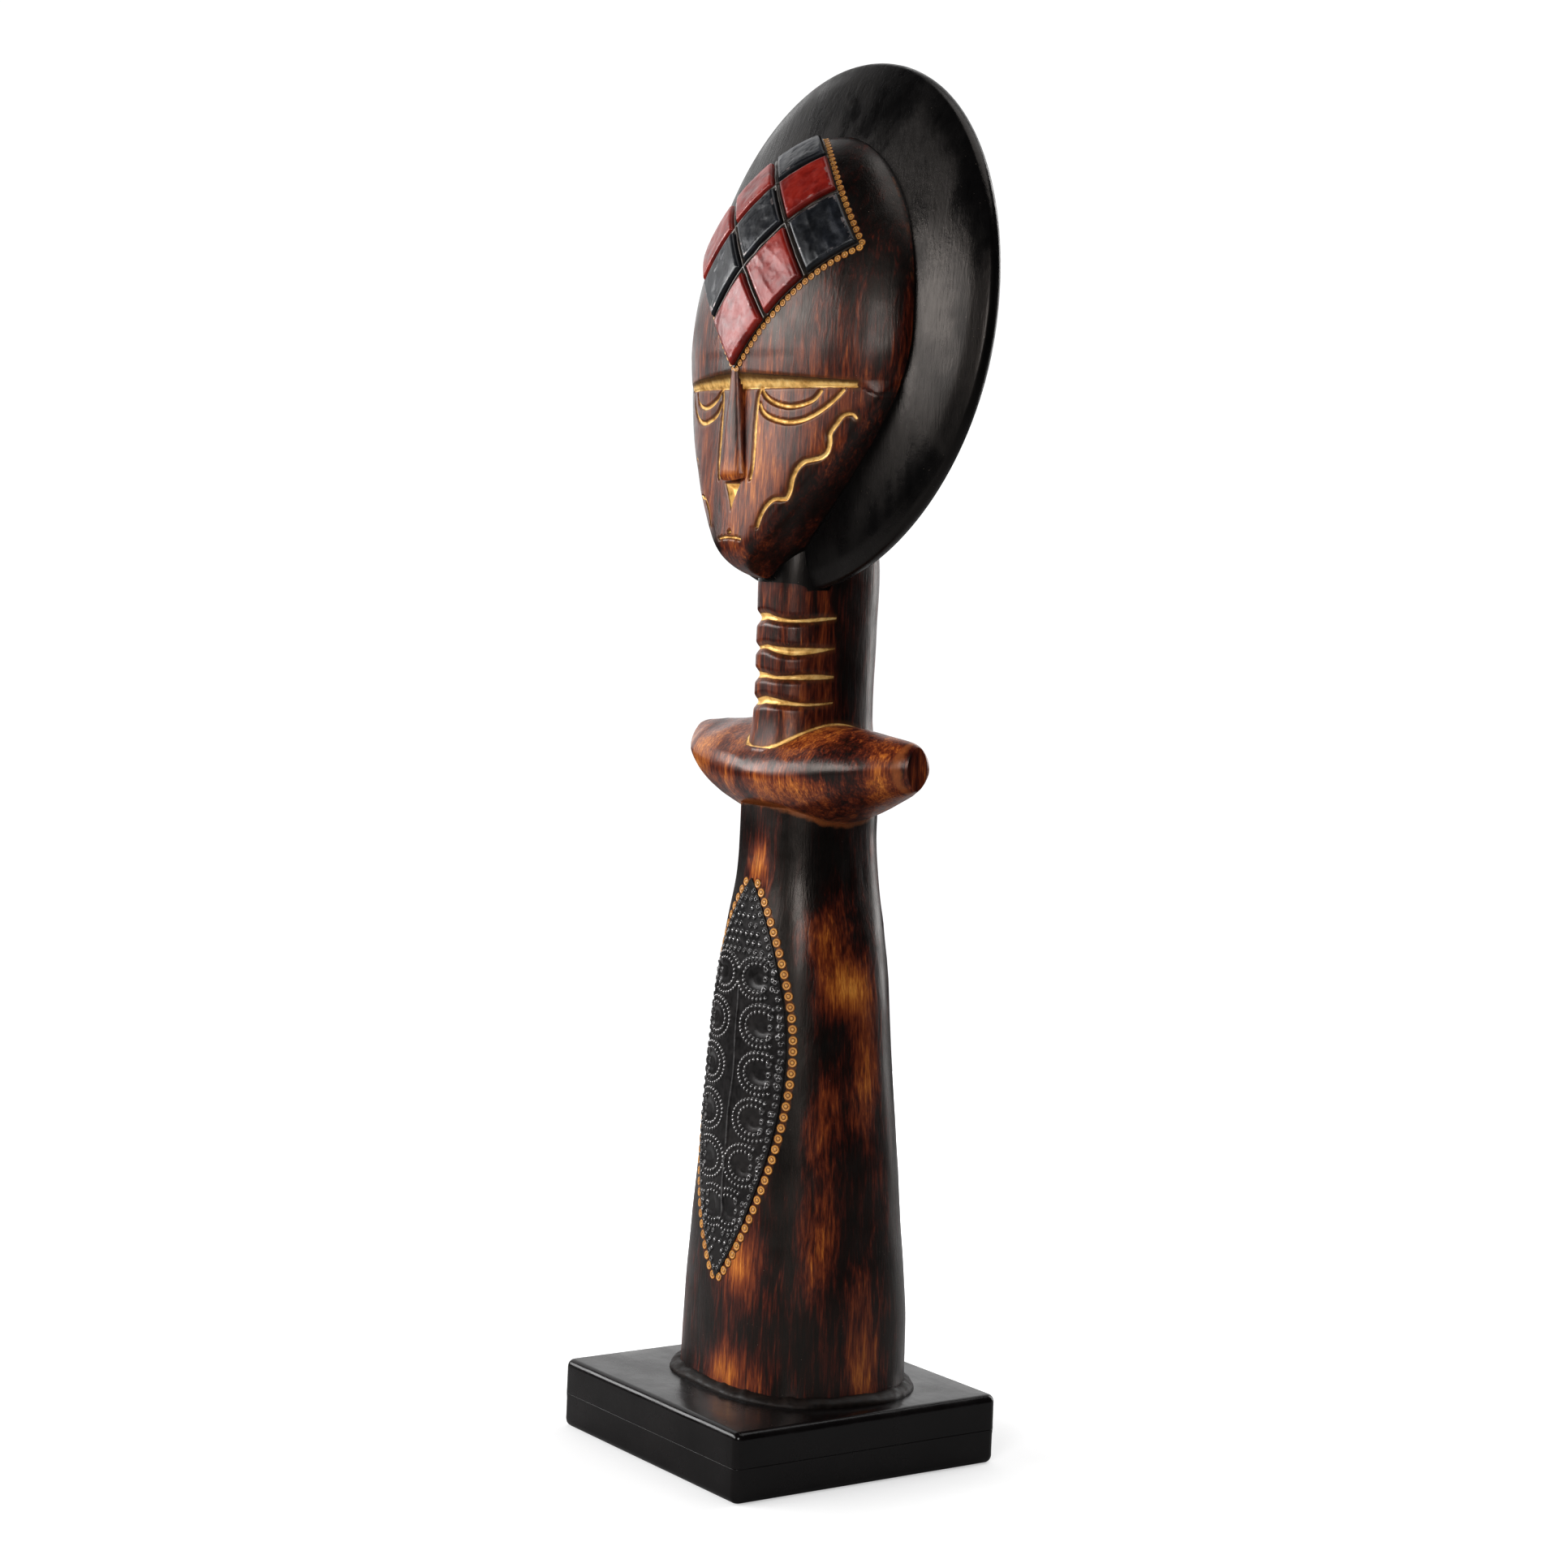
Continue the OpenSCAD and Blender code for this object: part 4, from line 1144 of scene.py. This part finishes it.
def make_glue_bead(material):
    """Lumpy bead of set glue round the torso's foot, under the lacquer."""
    count, z0, height, width = 220, PLINTH_H, 3.5, 3.2
    x, y, angle = section(TORSO[0, 1], TORSO[0, 2], TORSO_POWER, count)
    foot = np.stack([x, y + TORSO[0, 3], np.full(count, z0)], axis=1)
    out = outward(foot, 3.4)
    fine = noise(foot, 3.1, 52) * 0.10 + noise(foot, 1.4, 53) * 0.05
    reach = width * (1 + 0.12 * np.sin(5 * angle) + 0.08 * np.sin(9 * angle + 0.7) - np.abs(fine))
    tall = height * (0.86 - np.abs(noise(foot, 5, 54)) * 0.3)
    rings = []
    for share, rise in ((-0.25, 0.0), (1.0, 0.0), (1.0, 0.14), (0.93, 0.36), (0.78, 0.55), (0.58, 0.72),
                        (0.34, 0.88), (0.12, 0.97), (-0.25, 1.0)):
        ring = foot + out * (share * reach)[:, None]
        ring[:, 2] = z0 + rise * tall
        rings.append(ring)
    rings = np.stack(rings, axis=1)
    sides = rings.shape[1]
    faces = [[r * sides + i, r * sides + (i + 1) % sides, (r + 1) % count * sides + (i + 1) % sides,
              (r + 1) % count * sides + i] for r in range(count) for i in range(sides)]
    piece = solid("foot_glue_bead_set", rings.reshape(-1, 3), faces)
    crease(piece, 60)
    finish_piece(piece, ["foot_glue_bead"], material)


# ---------------------------------------------------------------- brow tiles and sheet

def make_pad(name, node, material, p, q, low, height, edge, sharp):
    """A closed pad over the brow: a grid of p and q places, its underside at low and its top at height.

    The material reads edge, which says how far in each place lies. Folds over sharp degrees stay crisp."""
    n, m = p.shape
    under = over_brow(p.ravel(), q.ravel(), np.full(p.size, low))
    over = over_brow(p.ravel(), q.ravel(), height.ravel())
    vertices = np.vstack([under, over])
    count = n * m
    index = np.arange(count).reshape(n, m)
    a, b, c, d = index[:-1, :-1], index[1:, :-1], index[1:, 1:], index[:-1, 1:]
    bottom = np.stack([a, b, c, d], axis=-1).reshape(-1, 4)
    faces = bottom[:, ::-1].tolist() + (bottom + count).tolist()
    rim = np.concatenate([index[:, 0], index[-1, 1:], index[-2::-1, -1], index[0, -2:0:-1]])
    for i, j in zip(rim, np.roll(rim, -1)):
        faces.append([int(i), int(j), int(j) + count, int(i) + count])
    piece = solid(name, vertices, faces)
    paint(piece, "edge", np.concatenate([np.full(count, 3.0), edge.ravel()]))
    crease(piece, sharp)
    finish_piece(piece, [node], material)


def tile_span(i):
    """Start and end of a tile along one edge of the rhombus: channels only between the tiles."""
    return (0 if i == 0 else i + CHANNEL), (TILES if i == TILES - 1 else i + 1 - CHANNEL)


def make_tile(i, j, node, material):
    """One foil pad: rounded shoulders, a soft dished top and long wrinkles, each tile with its own."""
    n = 56
    seed = 100 + 10 * i + j
    u, v = np.meshgrid(np.linspace(0, 1, n), np.linspace(0, 1, n), indexing="ij")
    from_p, to_p = tile_span(i)
    from_q, to_q = tile_span(j)
    # Corners drawn in a little, so that no two tiles are quite the same
    rng = np.random.default_rng(seed)
    pull = rng.uniform(0.0, 0.016, (4, 2))
    near = ((1 - u) * (1 - v), u * (1 - v), (1 - u) * v, u * v)
    du = sum(sign * near[k] * pull[k, 0] for k, sign in enumerate((1, -1, 1, -1)))
    dv = sum(sign * near[k] * pull[k, 1] for k, sign in enumerate((1, 1, -1, -1)))
    p, q = from_p + (to_p - from_p) * (u + du), from_q + (to_q - from_q) * (v + dv)
    inset = np.minimum(np.minimum(u, 1 - u), np.minimum(v, 1 - v)) * (1 - CHANNEL) * TILE_PITCH
    low = SKIN_GAP + SHEET_T + PAD_GAP
    round_r = 1.5
    shoulder = np.sqrt(np.clip(1 - (1 - np.clip(inset / round_r, 0, 1)) ** 2, 0, 1))
    flat = np.stack([u.ravel() * TILE_PITCH, v.ravel() * TILE_PITCH, 0 * u.ravel()], axis=1)
    # Long wrinkles that run one way, each tile's its own, with fine ones over them
    turn = rng.uniform(0, np.pi)
    along = flat[:, 0] * math.cos(turn) + flat[:, 1] * math.sin(turn)
    across = flat[:, 1] * math.cos(turn) - flat[:, 0] * math.sin(turn)
    long = np.stack([along, 0.28 * across, flat[:, 2]], axis=1)
    wrinkle = 0.22 * np.abs(noise(long, 4.2, seed)) + 0.05 * np.abs(noise(flat, 1.6, seed + 1))
    dish = -0.22 * smooth(2.0, 7.0, inset) * smooth(2, 6, inset)
    top = low + TILE_H * (0.42 + 0.58 * shoulder) + dish
    top -= wrinkle.reshape(n, n) * smooth(0.3, 2, inset)
    height = np.maximum(top, low + 0.35 * TILE_H)
    make_pad(node + "_pad", node, material, p, q, low, height, np.abs(inset - 1.0), 55)


def make_backing_sheet(material):
    """The sheet under the tiles, with a soft bead pressed up along the middle of each channel."""
    n = 190
    share = np.linspace(-SHEET_EDGE, TILES + SHEET_EDGE, n)
    p, q = np.meshgrid(share, share, indexing="ij")

    def ridge(value):
        nearest = np.clip(np.round(value), 1, TILES - 1)
        return np.sqrt(bump(value * TILE_PITCH, nearest * TILE_PITCH, 1.02))

    bead = np.maximum(ridge(p), ridge(q))
    flat = np.stack([p.ravel() * TILE_PITCH, q.ravel() * TILE_PITCH, 0 * p.ravel()], axis=1)
    wobble = 1 + 0.2 * noise(flat, 3, 61).reshape(n, n)
    height = SKIN_GAP + SHEET_T + 0.95 * bead * wobble
    inset = np.minimum(np.minimum(p, TILES - p), np.minimum(q, TILES - q)) + SHEET_EDGE
    inset = inset * TILE_PITCH
    make_pad("brow_backing_sheet_beaded", "brow_backing_sheet", material, p, q, SKIN_GAP,
             height, inset, 50)


RED_NODES = ("brow_tile_bottom_red", "brow_tile_left_red", "brow_tile_low_right_red",
             "brow_tile_high_left_red", "brow_tile_high_right_red")
TILE_NODES = (("brow_tile_bottom_red", "brow_tile_low_left_black", "brow_tile_left_red"),
              ("brow_tile_low_right_red", "brow_tile_centre_black", "brow_tile_high_left_red"),
              ("brow_tile_right_black", "brow_tile_high_right_red", "brow_tile_top_black"))


def make_brow():
    red = foil("red_foil", (0.085, 0.004, 0.003), (0.19, 0.011, 0.006), (0.28, 0.024, 0.012))
    black = foil("black_foil", (0.004, 0.0045, 0.006), (0.009, 0.0105, 0.014), (0.026, 0.028, 0.037))
    for i, row in enumerate(TILE_NODES):
        for j, node in enumerate(row):
            is_red = node in RED_NODES
            make_tile(i, j, node, red if is_red else black)
    make_backing_sheet(dark_sheet())


# ---------------------------------------------------------------- dress plate

# Open rings of dots down each side of the plate: their spacing, their place in from its edge, and their
# half width and half height
C_PITCH = 14.7
C_LOW_Z = 79.0
C_COUNT = 6
C_IN = 8.2
C_OUTER = (8.9, 6.5)
C_INNER = (6.1, 4.5)
# Spacing of the dots along the edge and in the rows that fill the tips
EDGE_DOT_PITCH = 2.75
ROW_DOT_PITCH = 2.7


def open_ring_middle(k):
    """Middle of one of the plate's open rings, in the right half."""
    z = C_LOW_Z + k * C_PITCH
    return float(plate_half(z)) - C_IN, z


def plate_dots():
    """Places, radius and form (0 dome, 1 ring) of every dot pressed up in the right half of the plate."""
    dots = []
    for k in range(C_COUNT):
        xc, zc = open_ring_middle(k)
        for (rx, rz), count in ((C_OUTER, 23), (C_INNER, 15)):
            for t in np.linspace(math.radians(62), math.radians(298), count):
                dots.append((xc + rx * math.cos(t), zc + rz * math.sin(t), 0.5, 0))
        for dz in (-3.1, 0.0, 3.1):
            dots.append((xc + 3.4, zc + dz, 0.9, 1))
            dots.append((xc + 6.3, zc + dz * 0.9, 0.8, 1))
    # A line of ring dots just inside the edge
    z = np.linspace(PLATE_LOW[2] + 2.5, PLATE_HIGH[2] - 2.5, 300)
    edge = plate_half(z) - 1.35
    along = path_length(np.stack([edge, z], axis=1))
    for s in np.arange(0.5, along[-1], EDGE_DOT_PITCH):
        dots.append((float(np.interp(s, along, edge)), float(np.interp(s, along, z)), 0.8, 1))
    # Rows that fill the two tips
    high_ring_z = open_ring_middle(C_COUNT - 1)[1]
    for low, high in ((PLATE_LOW[2] + 6, C_LOW_Z - 7.6), (high_ring_z + 7.8, PLATE_HIGH[2] - 6)):
        for row, dot_z in enumerate(np.arange(low, high, ROW_DOT_PITCH)):
            room = float(plate_half(dot_z)) - 3.4
            for x in np.arange(1.4 + 1.3 * (row % 2), room, ROW_DOT_PITCH):
                dots.append((x, dot_z, 0.72, row % 3 == 0))
    return [d for d in dots if abs(d[0]) < plate_half(d[1]) - 0.5 and d[0] > 0.2]


def plate_relief(x, z):
    """Height of the pressed pattern, and how far each place is rubbed bright, both 0 to 1."""
    relief, bright = np.zeros_like(x), np.zeros_like(x)
    for k in range(C_COUNT):
        xc, zc = open_ring_middle(k)
        r = np.hypot((np.abs(x) - xc - 0.8) / C_INNER[0], (z - zc) / C_INNER[1])
        relief -= 0.55 * (1 - smooth(0.0, 0.86, r))
        band = np.hypot((np.abs(x) - xc) / 7.5, (z - zc) / 5.5)
        relief += 0.16 * bump(band, 1.0, 0.24) * (np.abs(x) < xc + 4)
    centre = 1 - smooth(2.6, 4.2, np.abs(x))
    mid = smooth(66, 76, z) * (1 - smooth(160, 170, z))
    relief += 0.10 * centre * mid
    sway = 0.9 + 0.5 * np.sin(z / 9.0) + 0.25 * np.sin(z / 3.7)
    broken = 1 - bump(z, 97, 3)
    rib = bump(x, sway, 0.95) * smooth(74, 80, z) * (1 - smooth(146, 154, z)) * broken
    relief += 0.50 * rib
    bright = np.maximum(bright, 0.8 * rib)
    for dx, dz, radius, ring in plate_dots():
        near_z = np.abs(z[:, 0] - dz) < radius * 1.6
        for side in (-1, 1):
            rows = np.where(near_z)[0]
            if not len(rows):
                continue
            r = np.hypot(x[rows] - side * dx, z[rows] - dz) / radius
            if ring:
                shape = 0.42 * bump(r, 0.70, 0.5)
            else:
                shape = 0.52 * np.sqrt(np.clip(1 - (r / 1.05) ** 2, 0, 1))
            relief[rows] = relief[rows] + shape
            bright[rows] = np.maximum(bright[rows], shape * 2.3)
    return relief, bright


def make_dress_plate(material):
    rows, columns, back_columns = 460, 150, 14
    v = (1 - np.cos(np.linspace(0, np.pi, rows))) / 2
    v = 0.35 * v + 0.65 * np.linspace(0, 1, rows)
    z = PLATE_LOW[2] + (PLATE_HIGH[2] - PLATE_LOW[2]) * v
    half = plate_half(z)
    share = np.linspace(-1, 1, columns)
    x_front = half[:, None] * share[None]
    z_front = np.repeat(z[:, None], columns, axis=1)
    relief, bright = plate_relief(x_front, z_front)
    rim = smooth(0, 0.9, half[:, None] - np.abs(x_front))
    base = 0.34
    height = SKIN_GAP + np.clip(base + relief * rim, 0.05, PLATE_T + 0.08)
    front = over_surface(torso_front, x_front, z_front, height)
    x_back = half[:, None] * np.linspace(1, -1, back_columns)[None]
    back = over_surface(torso_front, x_back, np.repeat(z[:, None], back_columns, axis=1),
                        np.full(x_back.shape, SKIN_GAP))
    rings = np.concatenate([front, back], axis=1)
    piece = solid("dress_plate_embossed", *loft(rings))
    raised = np.concatenate([bright, np.zeros((rows, back_columns))], axis=1).ravel()
    paint(piece, "raised", np.concatenate([raised, [0, 0]]))
    crease(piece, 70)
    finish_piece(piece, ["dress_plate"], material)


def make_figure(material):
    places = border_places()
    figure = make_torso()
    limbs = [make_shoulders(), make_neck(), make_disc(), make_face(), make_nose()]
    combine(figure, limbs + [make_border(places)])
    combine(figure, bores(WOOD_BORE_R, PLINTH_H - 1, SCREW_HIGH[2] + 1), "DIFFERENCE")
    figure.name = "figure_carving_detailed"
    crease(figure, 36)
    mark_figure(figure, places)
    finish_piece(figure, ["figure_carving"], material)


# ---------------------------------------------------------------- camera, light and floor

CAMERA_AZIMUTH = 54.46
CAMERA_DISTANCE = 1.0
CAMERA_HEIGHT = 0.2853
CAMERA_PITCH = 4.18
CAMERA_ROLL = 2.32
CAMERA_YAW = 0.343
CAMERA_LENS = 72.8
FLOOR_RADIUS = 0.75
# Below 1, the view deepens the shadows, as the studio picture of a dark glossy doll does
VIEW_GAMMA = 0.8


def around(azimuth, elevation, distance):
    """A step away from the doll, at an azimuth round it: 0 before its face, a right angle at +X."""
    level = distance * math.cos(elevation)
    return Vector((level * math.sin(azimuth), -level * math.cos(azimuth), distance * math.sin(elevation)))


def make_camera():
    data = bpy.data.cameras.new("camera")
    data.lens = CAMERA_LENS
    data.sensor_width = 36
    data.clip_start = 0.05
    camera = bpy.data.objects.new("camera", data)
    bpy.context.scene.collection.objects.link(camera)
    azimuth, pitch = math.radians(CAMERA_AZIMUTH), math.radians(CAMERA_PITCH)
    camera.location = around(azimuth, 0, CAMERA_DISTANCE) + Vector((0, 0, CAMERA_HEIGHT))
    turn = azimuth + math.radians(CAMERA_YAW)
    forward = -around(turn, pitch, 1)
    right = Vector((math.cos(turn), math.sin(turn), 0))
    up = right.cross(forward)
    roll = math.radians(CAMERA_ROLL)
    right2 = math.cos(roll) * right + math.sin(roll) * up
    up2 = -math.sin(roll) * right + math.cos(roll) * up
    rotation = np.array([right2, up2, -forward]).T
    camera.rotation_mode = "QUATERNION"
    camera.rotation_quaternion = Matrix(rotation.tolist()).to_quaternion()
    bpy.context.scene.camera = camera


def softbox(name, azimuth, elevation, distance, width, height, radiance, aim=0.3):
    """A rectangular light of even radiance that faces the doll at the height of its aim."""
    data = bpy.data.lights.new(name, "AREA")
    data.shape = "RECTANGLE"
    data.size, data.size_y = width, height
    data.energy = radiance * math.pi * width * height
    light = bpy.data.objects.new(name, data)
    bpy.context.scene.collection.objects.link(light)
    light.visible_camera = False
    target = Vector((0, 0, aim))
    light.location = target + around(math.radians(azimuth), math.radians(elevation), distance)
    light.rotation_mode = "QUATERNION"
    light.rotation_quaternion = (target - light.location).to_track_quat("-Z", "Y")


def camera_only(tree, off, on):
    """A colour that the camera sees as on, while every other ray sees off."""
    seen = tree.nodes.new("ShaderNodeLightPath")
    mix = tree.nodes.new("ShaderNodeMix")
    mix.data_type = "RGBA"
    mix.inputs[6].default_value = off
    if isinstance(on, bpy.types.NodeSocket):
        tree.links.new(on, mix.inputs[7])
    else:
        mix.inputs[7].default_value = on
    tree.links.new(seen.outputs["Is Camera Ray"], mix.inputs["Factor"])
    return mix.outputs[2]


def make_stage():
    """A pale round floor that brightens outwards into the white of the room."""
    radius, sides = FLOOR_RADIUS, 96
    t = np.arange(sides) * 2 * np.pi / sides
    mesh = bpy.data.meshes.new("floor")
    rim = np.stack([radius * np.cos(t), radius * np.sin(t), 0 * t], axis=1).tolist()
    mesh.from_pydata(rim, [], [list(range(sides))])
    floor = bpy.data.objects.new("floor", mesh)
    bpy.context.scene.collection.objects.link(floor)
    g = Graph("floor_white")
    away = g.tree.nodes.new("ShaderNodeVectorMath")
    away.operation = "LENGTH"
    g.put(away.inputs[0], g.place)
    glow = g.remap(away.outputs["Value"], 0.05, 0.42, 0.52, 1.1)
    mesh.materials.append(g.surface(
        Base_Color=(0.5, 0.5, 0.5), Roughness=0.9, Specular_IOR_Level=0.0,
        Emission_Color=camera_only(g.tree, (0, 0, 0, 1), (1, 1, 1, 1)), Emission_Strength=glow))
    world = bpy.data.worlds.new("studio")
    bpy.context.scene.world = world
    world.use_nodes = True
    colour = camera_only(world.node_tree, (0.035, 0.035, 0.037, 1), (1.05, 1.05, 1.05, 1))
    world.node_tree.links.new(colour, world.node_tree.nodes["Background"].inputs["Color"])


def make_lights():
    softbox("key_left", -36, 14.5, 1.5, 1.9, 0.56, 9.6, aim=0.33)
    softbox("front_right", 38, 11, 1.6, 0.48, 0.55, 15.0, aim=0.33)
    softbox("backdrop", 234, 22, 1.7, 3.0, 1.7, 1.3)
    softbox("side_right", 180, 14, 1.6, 0.6, 1.4, 5.5)
    softbox("top", 150, 74, 1.6, 1.3, 1.3, 2.2, aim=0.1)


def main():
    scene = bpy.context.scene
    scene.view_settings.view_transform = "Standard"
    scene.view_settings.look = "None"
    scene.view_settings.gamma = VIEW_GAMMA
    make_camera()
    make_stage()
    make_lights()
    lacquer = black_lacquer()
    make_plinth(lacquer)
    make_glue_bead(set_glue())
    make_figure(stained_wood())
    make_brow()
    make_dress_plate(blackened_sheet())
    steel = zinc_steel()
    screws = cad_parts["plinth_screws"]
    for slot in screws.material_slots:
        slot.material = steel


main()
